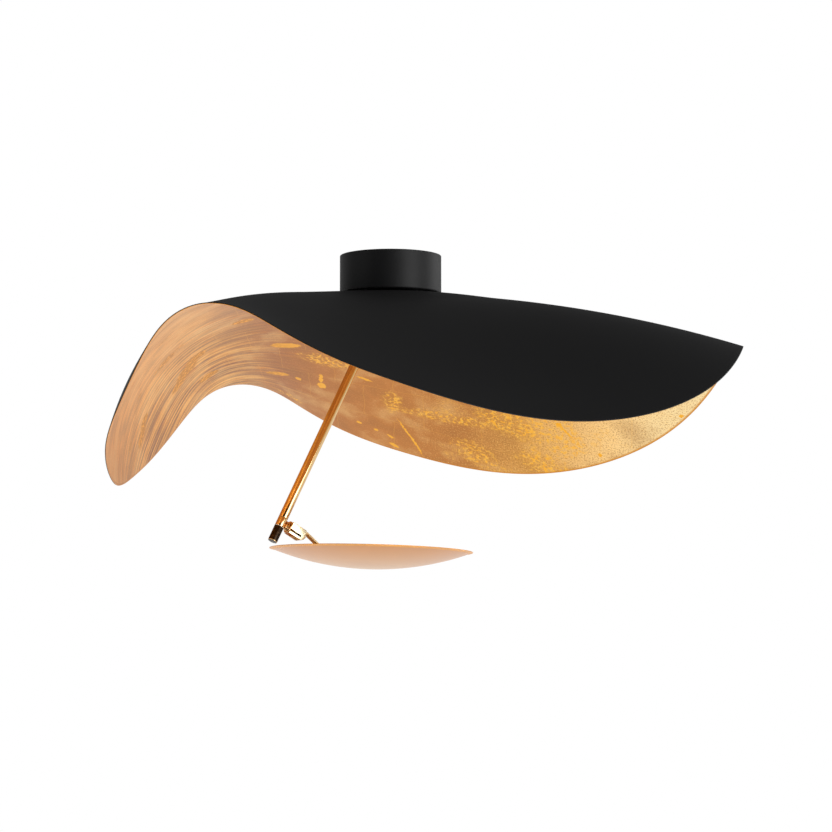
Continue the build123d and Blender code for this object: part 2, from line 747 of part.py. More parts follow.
# Clamp block: a split block that turns on the neck's shaft and is pinched by a headless screw
block_end = block_start + block_length
slot_line = sleeve_middle + clamp_slot_offset
clamp_face = sleeve_middle + block_width / 2
clamp_screw_axis = arm_plane.offset(clamp_face).origin + inward_down * (block_start + clamp_screw_place)
clamp_screw_plane = Plane(clamp_screw_axis, x_dir=inward_down, z_dir=rod_direction)
block_screw_point = arm_plane.offset(sleeve_middle - block_screw_rise).origin + inward_down * block_end
block_screw_plane = Plane(block_screw_point, x_dir=across_arm, z_dir=inward_down)
with BuildPart() as clamp_block:
    with BuildSketch(arm_section):
        with BuildSketch(mode=Mode.PRIVATE) as block_outline:
            with Locations(((block_start + block_end) / 2, sleeve_middle)):
                Rectangle(block_length, block_width)
            fillet(block_outline.vertices().group_by(Axis.X)[-1].sort_by(Axis.Y)[-1], block_end_round)
        add(block_outline.sketch)
    extrude(amount=block_depth / 2, both=True)
    chamfer(clamp_block.edges(), block_edge_chamfer)
    with BuildSketch(arm_section):
        with Locations((block_start + clamp_slot_length / 2, slot_line)):
            Rectangle(clamp_slot_length, clamp_slot_width)
        with Locations((block_start + clamp_slot_length, slot_line)):
            Circle(clamp_slot_width / 2)
    extrude(amount=block_depth, both=True, mode=Mode.SUBTRACT)
    with BuildSketch(neck_plane.offset(block_start)):
        Circle(neck_radius + running_clearance)
    extrude(amount=shaft_engagement + screw_hole_clearance, mode=Mode.SUBTRACT)
    with BuildSketch(clamp_screw_plane):
        Circle(small_screw_diameter / 2 + thread_clearance)
    extrude(amount=-clamp_screw_length - screw_hole_clearance, mode=Mode.SUBTRACT)
    with BuildSketch(block_screw_plane):
        Circle(small_screw_diameter / 2 + thread_clearance)
    extrude(amount=-block_screw_length, mode=Mode.SUBTRACT)
save(clamp_block, "clamp_block")

with BuildPart() as clamp_screw:
    with BuildSketch(clamp_screw_plane):
        Circle(small_screw_diameter / 2)
    extrude(amount=-clamp_screw_length)
    with BuildSketch(clamp_screw_plane):
        RegularPolygon(small_screw_diameter / 4, 6)
    extrude(amount=-small_screw_diameter / 2, mode=Mode.SUBTRACT)
save(clamp_screw, "clamp_screw")

# Disc frame: the origin at the centre of the rim's plane, local Z square to it, lower on the right
disc_up = Vector(sin(radians(disc_lean)), 0, cos(radians(disc_lean)))
disc_right = Vector(cos(radians(disc_lean)), 0, -sin(radians(disc_lean)))
disc_centre = outward * disc_reach - Vector(0, 0, disc_drop)
disc_plane = Plane(disc_centre, x_dir=disc_right, z_dir=disc_up)
disc_section = Plane(disc_centre, x_dir=disc_right, z_dir=(0, -1, 0))
disc_axis = Axis(disc_centre, disc_up)
disc_radius = disc_diameter / 2
plate_top = disc_plane.offset(-plate_recess)
plate_base = -plate_recess - plate_thickness


def side_point(along_neck, down_rod):
    """A point of the arm's own plane, as its distance out from the hub axis and its height."""
    lean = radians(arm_lean)
    out = pivot_reach - cos(lean) * along_neck + sin(lean) * down_rod
    return out, pivot_level - sin(lean) * along_neck - cos(lean) * down_rod


def on_plate(out):
    """The point of the plate's top that lies straight below a place on the arm's plane."""
    place = outward * out
    fall = (place - plate_top.origin).dot(disc_up) / disc_up.Z
    return place - Vector(0, 0, fall)


# Triangular bracket: one brass strip, folded from the block's end down to the plate and back under the block
foot_end = foot_landing + foot_length
foot_screw_places = [foot_end - foot_screw_margin - foot_screw_spacing * i for i in range(2)]
with BuildPart() as disc_bracket:
    with BuildSketch(arm_side):
        with BuildLine():
            FilletPolyline(
                side_point(block_end, sleeve_middle + block_width / 2 - block_end_round),
                side_point(block_end, sleeve_middle - block_width / 2),
                (foot_landing, on_plate(foot_landing).Z - foot_trim),
                (foot_end, on_plate(foot_end).Z - foot_trim),
                radius=bracket_fold_radius,
            )
            offset(amount=bracket_strip_thickness, side=Side.LEFT)
        make_face()
    extrude(amount=bracket_strip_width / 2, both=True)
    split(bisect_by=plate_top, keep=Keep.TOP)
    with BuildSketch(block_screw_plane):
        Circle(small_screw_diameter / 2 + thread_clearance)
    extrude(amount=block_screw_length, mode=Mode.SUBTRACT)
    for place in foot_screw_places:
        with BuildSketch(Plane(on_plate(place), x_dir=disc_right, z_dir=disc_up)):
            Circle(small_screw_diameter / 2 + thread_clearance)
        extrude(amount=2 * bracket_strip_thickness, mode=Mode.SUBTRACT)
save(disc_bracket, "disc_bracket")

# Screw that holds the bracket to the block, and the two screws of its foot
small_screw_radius = small_screw_diameter / 2
small_hole_radius = small_screw_radius + thread_clearance
strip_out = inward_down * bracket_strip_thickness
block_screw = screws(
    [Plane(block_screw_point + strip_out, x_dir=across_arm, z_dir=inward_down)],
    head_radius=small_head_diameter / 2,
    head_height=small_head_height,
    shank_radius=small_screw_radius,
    length=bracket_strip_thickness + block_screw_length - screw_hole_clearance,
    drive_radius=small_head_diameter / 2 * drive_share,
    drive_depth=small_head_height / 2,
)
save(block_screw, "block_screw")
foot_screw_points = [on_plate(place) + disc_up * bracket_strip_thickness for place in foot_screw_places]
bracket_screws = screws(
    [Plane(point, x_dir=disc_right, z_dir=disc_up) for point in foot_screw_points],
    head_radius=small_head_diameter / 2,
    head_height=small_head_height,
    shank_radius=small_screw_radius,
    length=foot_screw_length,
    drive_radius=small_head_diameter / 2 * drive_share,
    drive_depth=small_head_height / 2,
)
save(bracket_screws, "bracket_screws")

# Disc: a spun aluminium dish with three bosses for the plate
outer_sphere = (disc_radius**2 + disc_depth**2) / (2 * disc_depth)
inner_radius = disc_radius - dish_rim_width
inner_depth = disc_depth - dish_wall
inner_sphere = (inner_radius**2 + inner_depth**2) / (2 * inner_depth)


def bowl_arc(depth, sphere, radius):
    """Half the section of a bowl, from its middle up to its edge in the rim's plane."""
    return JernArc((0, -depth), (1, 0), sphere, degrees(asin(radius / sphere)))


with BuildPart() as disc_dish:
    with BuildSketch(disc_plane.offset(plate_base)):
        for azimuth in plate_screw_azimuths:
            with PolarLocations(plate_screw_radius, 1, azimuth):
                Circle(boss_diameter / 2)
    extrude(amount=-disc_depth)
    with BuildSketch(disc_section):
        with BuildLine():
            edge = bowl_arc(disc_depth, outer_sphere, disc_radius)
            Polyline(edge @ 1, (0, 0), edge @ 0)
        make_face()
    revolve(axis=disc_axis, mode=Mode.INTERSECT)
    with BuildSketch(disc_section):
        with BuildLine():
            outside = bowl_arc(disc_depth, outer_sphere, disc_radius)
            inside = bowl_arc(inner_depth, inner_sphere, inner_radius)
            Line(outside @ 1, inside @ 1)
            Line(outside @ 0, inside @ 0)
        make_face()
    revolve(axis=disc_axis)
    with BuildSketch(disc_plane.offset(plate_base)):
        for azimuth in plate_screw_azimuths:
            with PolarLocations(plate_screw_radius, 1, azimuth):
                Circle(small_hole_radius)
    extrude(amount=-(plate_screw_length - plate_thickness + screw_hole_clearance), mode=Mode.SUBTRACT)
save(disc_dish, "disc_dish")

# Plate inside the dish's rim: it carries the bracket's foot, the board and the diffuser
plate_rise = inner_depth + plate_base
plate_radius = sqrt(2 * inner_sphere * plate_rise - plate_rise**2) - plate_edge_gap
board_top = board_thickness - plate_recess
bezel_screw_radius = diffuser_diameter / 2 + bezel_width - small_head_diameter / 2
board_screw_places = PolarLocations(board_screw_radius, board_screw_count)
bezel_screw_places = PolarLocations(bezel_screw_radius, bezel_screw_count)
foot_places = [disc_plane.to_local_coords(point) for point in foot_screw_points]
with BuildPart() as disc_plate:
    with BuildSketch(disc_plane.offset(plate_base)):
        Circle(plate_radius)
        for azimuth in plate_screw_azimuths:
            with PolarLocations(plate_screw_radius, 1, azimuth):
                Circle(small_screw_radius + screw_hole_clearance, mode=Mode.SUBTRACT)
        with board_screw_places:
            Circle(small_hole_radius, mode=Mode.SUBTRACT)
        with bezel_screw_places:
            Circle(small_hole_radius, mode=Mode.SUBTRACT)
        with Locations(*[(place.X, place.Y) for place in foot_places]):
            Circle(small_hole_radius, mode=Mode.SUBTRACT)
    extrude(amount=plate_thickness)
save(disc_plate, "disc_plate")


def disc_screws(places, height, length):
    """Small round-headed screws square to the disc: height is where the heads' undersides lie."""
    heads = [disc_plane.from_local_coords((place.X, place.Y, height)) for place in places]
    return screws(
        [Plane(head, z_dir=disc_up) for head in heads],
        head_radius=small_head_diameter / 2,
        head_height=small_head_height,
        shank_radius=small_screw_radius,
        length=length,
        drive_radius=small_head_diameter / 2 * drive_share,
        drive_depth=small_head_height / 2,
    )


def polar_points(radius, azimuths):
    return [Vector(radius * cos(radians(azimuth)), radius * sin(radians(azimuth))) for azimuth in azimuths]


plate_screw_places = polar_points(plate_screw_radius, plate_screw_azimuths)
plate_screws = disc_screws(plate_screw_places, -plate_recess, plate_screw_length)
save(plate_screws, "plate_screws")
board_screws = disc_screws([place.position for place in board_screw_places], board_top, board_screw_length)
save(board_screws, "board_screws")

# Round LED board, its chips in three rings, and the opal diffuser held down by a bezel
with BuildPart() as led_board:
    with BuildSketch(plate_top):
        Circle(board_diameter / 2)
        Circle(board_hole_diameter / 2, mode=Mode.SUBTRACT)
        with board_screw_places:
            Circle(small_screw_radius + screw_hole_clearance, mode=Mode.SUBTRACT)
    extrude(amount=board_thickness)
save(led_board, "led_board")

with BuildPart() as led_chips:
    with BuildSketch(disc_plane.offset(board_top)):
        for radius, count in chip_rings:
            with PolarLocations(radius, count):
                Rectangle(chip_size, chip_size)
    extrude(amount=chip_height)
save(led_chips, "led_chips")

diffuser_radius = diffuser_diameter / 2
crown_sphere = (diffuser_radius**2 + diffuser_crown**2) / (2 * diffuser_crown)
with BuildPart() as diffuser:
    with BuildSketch(plate_top):
        Circle(diffuser_radius + diffuser_flange_width)
    extrude(amount=diffuser_flange_thickness)
    for inset in (0, diffuser_wall):
        with BuildSketch(disc_section):
            with BuildLine():
                radius = diffuser_radius - inset
                crown = crown_sphere - inset
                base = -plate_recess
                middle = base + diffuser_height - inset
                shoulder = middle - crown + sqrt(crown**2 - radius**2)
                Polyline((0, middle), (0, base), (radius, base), (radius, shoulder))
                JernArc((0, middle), (1, 0), crown, -degrees(asin(radius / crown)))
            make_face()
        revolve(axis=disc_axis, mode=Mode.ADD if inset == 0 else Mode.SUBTRACT)
save(diffuser, "diffuser")

bezel_outer = diffuser_radius + bezel_width
with BuildPart() as diffuser_bezel:
    with BuildSketch(plate_top):
        Circle(bezel_outer)
        Circle(diffuser_radius + diffuser_flange_width + screw_hole_clearance, mode=Mode.SUBTRACT)
    extrude(amount=bezel_height)
    with BuildSketch(plate_top.offset(diffuser_flange_thickness)):
        Circle(bezel_outer)
        Circle(diffuser_radius + screw_hole_clearance, mode=Mode.SUBTRACT)
    extrude(amount=bezel_height - diffuser_flange_thickness)
    with BuildSketch(plate_top):
        with bezel_screw_places:
            Circle(small_screw_radius + screw_hole_clearance)
    extrude(amount=bezel_height, mode=Mode.SUBTRACT)
save(diffuser_bezel, "diffuser_bezel")
bezel_screws = disc_screws(
    [place.position for place in bezel_screw_places], bezel_height - plate_recess, bezel_screw_length
)
save(bezel_screws, "bezel_screws")
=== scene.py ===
from math import asin, cos, pi, radians, sin, tan

import bmesh
import bpy
import numpy as np
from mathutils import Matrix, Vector


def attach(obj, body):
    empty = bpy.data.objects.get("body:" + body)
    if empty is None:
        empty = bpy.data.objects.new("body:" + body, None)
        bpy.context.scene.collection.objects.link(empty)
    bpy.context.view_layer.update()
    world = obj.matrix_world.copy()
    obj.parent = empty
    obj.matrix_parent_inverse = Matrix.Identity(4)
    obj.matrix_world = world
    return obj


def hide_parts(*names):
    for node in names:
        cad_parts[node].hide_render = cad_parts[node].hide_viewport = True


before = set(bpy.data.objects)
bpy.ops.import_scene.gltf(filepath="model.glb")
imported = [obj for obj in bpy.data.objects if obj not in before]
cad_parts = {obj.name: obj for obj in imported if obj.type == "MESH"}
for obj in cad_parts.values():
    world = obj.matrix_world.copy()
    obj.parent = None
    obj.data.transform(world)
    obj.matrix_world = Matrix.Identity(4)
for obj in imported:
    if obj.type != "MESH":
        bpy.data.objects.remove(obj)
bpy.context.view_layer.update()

# Camera. It stands four metres in front of the light with a long lens, lower than the dish, and is tipped
# up a little, so the underside of the sheet shows behind its front edge.
camera_place = (0.0326, -4.0, -0.61075)
upward_tip = 5.78
camera_data = bpy.data.cameras.new("camera")
camera_data.sensor_width = 36
camera_data.lens = 136.3
camera_data.clip_end = 200
camera = bpy.data.objects.new("camera", camera_data)
camera.location = camera_place
camera.rotation_euler = (radians(90 + upward_tip), 0, 0)
scene = bpy.context.scene
scene.collection.objects.link(camera)
scene.camera = camera
scene.view_settings.view_transform = "Standard"


# Studio. A white cove that is bright all round the horizon and below it, and dim overhead, with its darkest
# side at the front left. The camera sees it plain white, but lacquer and metal mirror the cove itself, so the
# black lacquer stays black.
def hex_colour(text):
    """An sRGB hex value as linear red, green, blue and alpha."""
    channels = [int(text[i:i + 2], 16) / 255 for i in (1, 3, 5)]
    return tuple(c / 12.92 if c <= 0.04045 else ((c + 0.055) / 1.055) ** 2.4 for c in channels) + (1,)


def node(tree, kind, links=None, **settings):
    """Adds one node with its own settings. Links give its inputs a node, an output or a plain value."""
    made = tree.nodes.new("ShaderNode" + kind)
    for name, value in settings.items():
        setattr(made, name, value)
    for name, value in (links or {}).items():
        if isinstance(value, bpy.types.Node):
            value = value.outputs[0]
        if isinstance(value, bpy.types.NodeSocket):
            tree.links.new(value, made.inputs[name])
        else:
            made.inputs[name].default_value = value
    return made


world = bpy.data.worlds.new("studio")
scene.world = world
world.use_nodes = True
tree = world.node_tree
tree.nodes.clear()
horizon_level, overhead_level = 1.1, 0.14
dark_side_share = 0.13
away_from_dark = (0.35, 0.94, 0)
way = node(tree, "TexCoord").outputs["Generated"]
height = node(tree, "SeparateXYZ", {0: way}).outputs["Z"]
to_back = node(tree, "VectorMath", {0: way, 1: away_from_dark}, operation="DOT_PRODUCT").outputs["Value"]
overhead = node(tree, "MapRange", {
    "Value": height,
    "From Min": -0.12,
    "From Max": 0.3,
    "To Min": horizon_level,
    "To Max": overhead_level,
})
dim_front = node(tree, "MapRange", {
    "Value": to_back,
    "From Min": -0.9,
    "From Max": 0.1,
    "To Min": dark_side_share,
})
level = node(tree, "Math", {0: overhead, 1: dim_front}, operation="MULTIPLY")
camera_ray = node(tree, "LightPath").outputs["Is Camera Ray"]
strength = node(tree, "Math", {0: level, 1: camera_ray}, operation="MAXIMUM")
light = node(tree, "Background", {"Color": hex_colour("#ffffff"), "Strength": strength})
node(tree, "OutputWorld", {"Surface": light})

floor_level = -2.4
floor_half = 12
floor_turns = [(-1, -1), (1, -1), (1, 1), (-1, 1)]
floor_corners = [(x * floor_half, y * floor_half, floor_level) for x, y in floor_turns]
floor_mesh = bpy.data.meshes.new("floor")
floor_mesh.from_pydata(floor_corners, [], [(0, 1, 2, 3)])
floor = bpy.data.objects.new("floor", floor_mesh)
scene.collection.objects.link(floor)


def new_material(name):
    """An empty material and its node tree."""
    material = bpy.data.materials.new(name)
    material.use_nodes = True
    material.node_tree.nodes.clear()
    return material, material.node_tree


# Matt white paper for the floor. It throws soft light up at the leaf, looks plain white to the camera and in
# polished metal, and is clear to a camera that looks up from under it.
paper, tree = new_material("white_paper")
path = node(tree, "LightPath").outputs
shown = node(tree, "Math", {0: path["Is Camera Ray"], 1: path["Is Glossy Ray"]}, operation="MAXIMUM")
shown = node(tree, "Math", {0: shown, 1: path["Is Transmission Ray"]}, operation="MAXIMUM")
matt = node(tree, "BsdfDiffuse", {"Color": hex_colour("#f4f2ee")})
white = node(tree, "Emission", {"Color": hex_colour("#ffffff"), "Strength": 1.0})
lit = node(tree, "MixShader", {0: shown, 1: matt, 2: white})
behind = node(tree, "NewGeometry").outputs["Backfacing"]
from_below = node(tree, "Math", {0: behind, 1: path["Is Camera Ray"]}, operation="MULTIPLY")
clear = node(tree, "BsdfTransparent")
sheet_of_paper = node(tree, "MixShader", {0: from_below, 1: lit, 2: clear})
node(tree, "OutputMaterial", {"Surface": sheet_of_paper})
floor_mesh.materials.append(paper)

# Soft boxes aimed at the middle of the light: place and size in metres, and power in watts.
lamp_target = Vector((0.03, 0, -0.2))
for name, place, size, power in [
    ("right_box", (2.9, -2.7, 0.1), (2.0, 3.2), 110),
    ("left_box", (-3.2, -1.6, -1.0), (1.2, 2.0), 24),
    ("low_box", (0.6, -2.6, -2.2), (2.4, 1.2), 80),
    ("back_box", (3.6, 1.8, 1.4), (2.6, 1.8), 48),
]:
    lamp_data = bpy.data.lights.new(name, "AREA")
    lamp_data.shape = "RECTANGLE"
    lamp_data.size, lamp_data.size_y = size
    lamp_data.energy = power
    lamp = bpy.data.objects.new(name, lamp_data)
    lamp.location = place
    lamp.rotation_euler = (lamp_target - Vector(place)).to_track_quat("-Z", "Y").to_euler()
    scene.collection.objects.link(lamp)


# Ceiling cup. A drawn steel cup with a rounded floor, powder coated in black polyester and screwed to its
# bracket from the sides. The satin coat is nearly black, with a soft sheen and a fine orange peel.
mm = 0.001


def paint(material, *names):
    """Gives frame nodes a material."""
    for name in names:
        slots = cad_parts[name].data.materials
        slots.clear()
        slots.append(material)


peel_size = 2.5 * mm
sheen_patch = 166.67 * mm
lacquer, tree = new_material("satin_black_powder_coat")
here = node(tree, "TexCoord").outputs["Object"]
peel = node(tree, "TexNoise", {"Vector": here, "Scale": 1 / peel_size, "Detail": 2.0})
peel_bump = node(tree, "Bump", {"Height": peel, "Strength": 0.12, "Distance": 0.02 * mm})
cloud = node(tree, "TexNoise", {"Vector": here, "Scale": 1 / sheen_patch, "Detail": 3.0})
sheen_change = node(tree, "MapRange", {"Value": cloud, "To Min": 0.46, "To Max": 0.56})
black = node(tree, "ValToRGB", {"Fac": cloud})
black.color_ramp.elements[0].color = hex_colour("#0b0b0c")
black.color_ramp.elements[1].color = hex_colour("#121213")
coat = node(tree, "BsdfPrincipled", {
    "Base Color": black,
    "Roughness": sheen_change,
    "Specular IOR Level": 0.24,
    "Normal": peel_bump,
})
node(tree, "OutputMaterial", {"Surface": coat})
paint(lacquer, "ceiling_cup", "top_plate")


# Wavy sheet. One round aluminium blank, bent over a ridge from tail to nose and rolled down at the tail, then
# clamped at its hole between two plates. It is lacquered on top and leafed below. A point's place on it is
# worked out from its place on the flat blank: along the ridge and across it.
blank_radius = 475 * mm
hole_radius, hole_offset = 5.3 * mm, 20 * mm
sheet_thickness = 1.5 * mm
sheet_seat = -54.77 * mm
tail_length = blank_radius + hole_offset
nose_length = blank_radius - hole_offset

# The ridge rolls down through tail_roll degrees towards the tail and droops by nose_droop degrees at the
# nose. A round of flat_seat radius stays flat between the plates, and blends into the bent sheet by the time
# it reaches seat_blend.
tail_roll, tail_roll_start, tail_roll_span = 93, 75 * mm, 470 * mm
nose_droop = 17
flat_seat, seat_blend = 45 * mm, 150 * mm

# Across the ridge, half of the turn is made within bend_half_width. Each station gives a place along the
# ridge in metres, the radius that the sheet is bent to there, and how far its sides lean to the nose.
bend_half_width = 125 * mm
ridge_stations = [
    (-0.495, 0.75, 16),
    (-0.42, 0.485, 18),
    (-0.3, 0.845, 40),
    (-0.15, 0.415, 9),
    (0, 0.245, 1),
    (0.2, 0.17, 2),
    (0.455, 0.14, 8),
]


def through(places, values):
    """A natural cubic curve through the given values, as a function of place."""
    places, values = np.array(places), np.array(values)
    gaps, last = np.diff(places), len(places) - 1
    rises = np.diff(values) / gaps
    matrix, right = np.eye(last + 1), np.zeros(last + 1)
    for i in range(1, last):
        matrix[i, i - 1:i + 2] = gaps[i - 1], 2 * (gaps[i - 1] + gaps[i]), gaps[i]
        right[i] = 6 * (rises[i] - rises[i - 1])
    curves = np.linalg.solve(matrix, right)

    def value(at):
        at = np.clip(at, places[0], places[-1])
        i = np.clip(np.searchsorted(places, at) - 1, 0, last - 1)
        after, before, gap = places[i + 1] - at, at - places[i], gaps[i]
        bend = (curves[i] * after**3 + curves[i + 1] * before**3) / (6 * gap)
        left = values[i] / gap - curves[i] * gap / 6
        return bend + left * after + (values[i + 1] / gap - curves[i + 1] * gap / 6) * before

    return value


station_places = [place for place, radius, lean in ridge_stations]
bend_at = through(station_places, [1 / radius for place, radius, lean in ridge_stations])
lean_at = through(station_places, [radians(lean) for place, radius, lean in ridge_stations])


def smooth_step(share):
    """Eases a share from 0 to 1, level at both ends."""
    share = np.clip(share, 0, 1)
    return share * share * (3 - 2 * share)


def ridge_slope(along):
    """How steeply the ridge falls at a place along it."""
    tail_share = smooth_step((-along - tail_roll_start) / tail_roll_span)
    return np.radians(nose_droop * np.clip(along / nose_length, 0, None) - tail_roll * tail_share)


march_step, march_spare = 0.5 * mm, 2 * mm
march = np.arange(-tail_length - march_spare, nose_length + march_spare, march_step)
march_slopes = ridge_slope(march + march_step / 2)
hub_step = int(np.argmin(abs(march)))
march_x = np.cumsum(np.cos(march_slopes)) * march_step
march_z = -np.cumsum(np.sin(march_slopes)) * march_step


def sheet_middle(along, across):
    """Where points of the flat blank lie on the bent sheet's middle surface, as rows of x, y, z."""
    x = np.interp(along, march + march_step, march_x - march_x[hub_step - 1])
    z = np.interp(along, march + march_step, march_z - march_z[hub_step - 1])
    bend, lean = bend_at(along), lean_at(along)
    section_steps = 12
    step = abs(across) / section_steps
    width, drop = np.zeros_like(along), np.zeros_like(along)
    for i in range(section_steps):
        share = ((i + 0.5) * step / bend_half_width) ** 2
        turn = bend * bend_half_width * share / (1 + share)
        width += step * np.cos(turn)
        drop += step * np.sin(turn)
    x, z = x + drop * np.sin(lean), z - drop * np.cos(lean)
    bent = smooth_step((np.hypot(along, across) - flat_seat) / (seat_blend - flat_seat))
    y = across + (np.copysign(width, across) - across) * bent
    return np.stack([along + (x - along) * bent, y, z * bent + sheet_seat], -1)


def sheet_normal(along, across):
    """The way up from the bent sheet, square to it."""
    reach = 0.5 * mm
    ridgeward = sheet_middle(along + reach, across) - sheet_middle(along - reach, across)
    crossward = sheet_middle(along, across + reach) - sheet_middle(along, across - reach)
    normal = np.cross(ridgeward, crossward)
    return normal / np.linalg.norm(normal, axis=-1, keepdims=True)


# Rows of the sheet's mesh: how far out each lies, from the hole to the rim, and its height in the thickness.
spokes = 512
skin_rows = 110
edge_rows = 5
half = sheet_thickness / 2
skin = hole_radius + (blank_radius - half - hole_radius) * np.linspace(0, 1, skin_rows)
edge_turn = np.linspace(pi / 2, -pi / 2, 2 * edge_rows + 1)
rows = [(radius, half) for radius in skin]
rows += [(blank_radius - half + half * cos(turn), half * sin(turn)) for turn in edge_turn[1:-1]]
rows += [(radius, -half) for radius in skin[::-1]]
angles = np.arange(spokes) * 2 * pi / spokes
radii = np.array([radius for radius, height in rows])[:, None]
heights = np.array([height for radius, height in rows])[:, None, None]
shares = (radii - hole_radius) / (blank_radius - hole_radius)
along = radii * np.cos(angles) - hole_offset * shares
across = radii * np.sin(angles)
points = sheet_middle(along, across) + sheet_normal(along, across) * heights
faces = []
row_count = len(rows)
for i in range(row_count):
    after = (i + 1) % row_count
    for j in range(spokes):
        beside = (j + 1) % spokes
        faces.append((i * spokes + j, after * spokes + j, after * spokes + beside, i * spokes + beside))
shade_mesh = bpy.data.meshes.new("wavy_sheet")
shade_mesh.from_pydata(points.reshape(-1, 3).tolist(), [], faces)
blank_map = shade_mesh.uv_layers.new(name="blank")
corner_points = np.zeros(len(shade_mesh.loops), int)
shade_mesh.loops.foreach_get("vertex_index", corner_points)
flat_places = np.stack([along.ravel(), across.ravel()], -1)[corner_points]
blank_map.uv.foreach_set("vector", flat_places.astype(np.float32).ravel())
shade_mesh.polygons.foreach_set("use_smooth", [True] * len(faces))
shade = bpy.data.objects.new("wavy_sheet", shade_mesh)
scene.collection.objects.link(shade)

# Leaf on the sheet's underside: imitation gold laid by hand in 80 mm squares, rubbed down and varnished. It
# is pale and dense near the nose, tan over the middle, and dragged into long streaks on the rolled tail,
# with torn places and crazing where a warmer ground shows through. The pale nose and the bright tail are
# partly painted reflection of the bright floor and backdrop.
leaf, tree = new_material("imitation_gold_leaf")
blank = node(tree, "UVMap", uv_map="blank")
flat = node(tree, "SeparateXYZ", {0: blank})
leaf_along, leaf_across = flat.outputs["X"], flat.outputs["Y"]

# Tones from the tail to the nose, by place along the blank in millimetres. The tan middle is the leaf's
# own tone; the bright tail and the near-white nose add painted reflection of the floor and backdrop.
tones_with_painted_reflection = [
    (-470, "#ffb252"),
    (-330, "#ffba5c"),
    (-255, "#f6b65e"),
    (-170, "#b9763e"),
    (-20, "#c68141"),
    (90, "#c48142"),
    (190, "#dea457"),
    (290, "#ffd591"),
    (430, "#fff0be"),
]
tone_start, tone_end = tones_with_painted_reflection[0][0], tones_with_painted_reflection[-1][0]
tone_place = node(tree, "MapRange", {
    "Value": leaf_along,
    "From Min": tone_start * mm,
    "From Max": tone_end * mm,
})
base_and_reflection_tone = node(tree, "ValToRGB", {"Fac": tone_place})
stops = base_and_reflection_tone.color_ramp.elements
while len(stops) < len(tones_with_painted_reflection):
    stops.new(0.5)
for i, (place, tone) in enumerate(tones_with_painted_reflection):
    stops[i].position = (place - tone_start) / (tone_end - tone_start)
    stops[i].color = hex_colour(tone)

# Rub marks of the tail: long pale and mauve brown streaks, and short orange dashes where the ground shows.
# The mauve brown is darkest on the side that turns under, which is painted shade in the roll.
in_tail = node(tree, "MapRange", {"Value": leaf_along, "From Min": -0.11, "From Max": -0.24})
fold_shade = node(tree, "MapRange", {"Value": leaf_across, "From Min": -0.02, "From Max": 0.26, "To Min": 0.3})
streak_length, streak_width = 150 * mm, 7 * mm
long_way = node(tree, "Mapping", {"Vector": blank, "Scale": (1 / streak_length, 1 / streak_width, 1)})
streaks = node(tree, "TexNoise", {"Vector": long_way, "Scale": 1.0, "Detail": 5.0, "Roughness": 0.6})
streak_dark = node(tree, "MapRange", {"Value": streaks, "From Min": 0.42, "From Max": 0.6})
mauve_share = node(tree, "Math", {0: streak_dark, 1: fold_shade}, operation="MULTIPLY")
mauve_share = node(tree, "Math", {0: mauve_share, 1: in_tail}, operation="MULTIPLY")
tone = node(tree, "MixRGB", {"Fac": mauve_share, "Color1": base_and_reflection_tone, "Color2": hex_colour("#965e38")})
streak_bright = node(tree, "MapRange", {"Value": streaks, "From Min": 0.43, "From Max": 0.33})
bright_share = node(tree, "Math", {0: streak_bright, 1: in_tail}, operation="MULTIPLY")
bright_share = node(tree, "Math", {0: bright_share, 1: 0.85}, operation="MULTIPLY")
tone = node(tree, "MixRGB", {"Fac": bright_share, "Color1": tone, "Color2": hex_colour("#f7b95e")})
dash_length, dash_width = 55 * mm, 5 * mm
short_way = node(tree, "Mapping", {"Vector": blank, "Scale": (1 / dash_length, 1 / dash_width, 1)})
dashes = node(tree, "TexNoise", {"Vector": short_way, "Scale": 1.0, "Detail": 4.0, "Roughness": 0.6})
dash_share = node(tree, "MapRange", {"Value": dashes, "From Min": 0.56, "From Max": 0.63, "To Max": 0.85})
dash_share = node(tree, "Math", {0: dash_share, 1: in_tail}, operation="MULTIPLY")
tone = node(tree, "MixRGB", {"Fac": dash_share, "Color1": tone, "Color2": hex_colour("#dc8a26")})

# Cloudy wear: broad browner and paler places all over.
wear_size = 90 * mm
wear = node(tree, "TexNoise", {"Vector": blank, "Scale": 1 / wear_size, "Detail": 5.0, "Roughness": 0.6})
brown_share = node(tree, "MapRange", {"Value": wear, "From Min": 0.5, "From Max": 0.64, "To Max": 0.38})
tone = node(tree, "MixRGB", {"Fac": brown_share, "Color1": tone, "Color2": hex_colour("#9c6736")})
pale_share = node(tree, "MapRange", {"Value": wear, "From Min": 0.5, "From Max": 0.36, "To Max": 0.35})
tone = node(tree, "MixRGB", {"Fac": pale_share, "Color1": tone, "Color2": hex_colour("#fbd08a")})

# Grain of the rubbed leaf. The real grain is well under a millimetre, so it is drawn coarser, to show.
grain_size = 2.2 * mm
grain = node(tree, "TexNoise", {"Vector": blank, "Scale": 1 / grain_size, "Detail": 3.0, "Roughness": 0.7})
in_grain = node(tree, "MapRange", {"Value": leaf_along, "From Min": 0.0, "From Max": 0.12, "To Min": 0.3})
grain_dark = node(tree, "MapRange", {"Value": grain, "From Min": 0.5, "From Max": 0.62, "To Max": 0.75})
grain_share = node(tree, "Math", {0: grain_dark, 1: in_grain}, operation="MULTIPLY")
tone = node(tree, "MixRGB", {"Fac": grain_share, "Color1": tone, "Color2": hex_colour("#a9743a")})
grain_light = node(tree, "MapRange", {"Value": grain, "From Min": 0.44, "From Max": 0.34, "To Max": 0.7})
light_share = node(tree, "Math", {0: grain_light, 1: in_grain}, operation="MULTIPLY")
tone = node(tree, "MixRGB", {"Fac": light_share, "Color1": tone, "Color2": hex_colour("#fdd07a")})

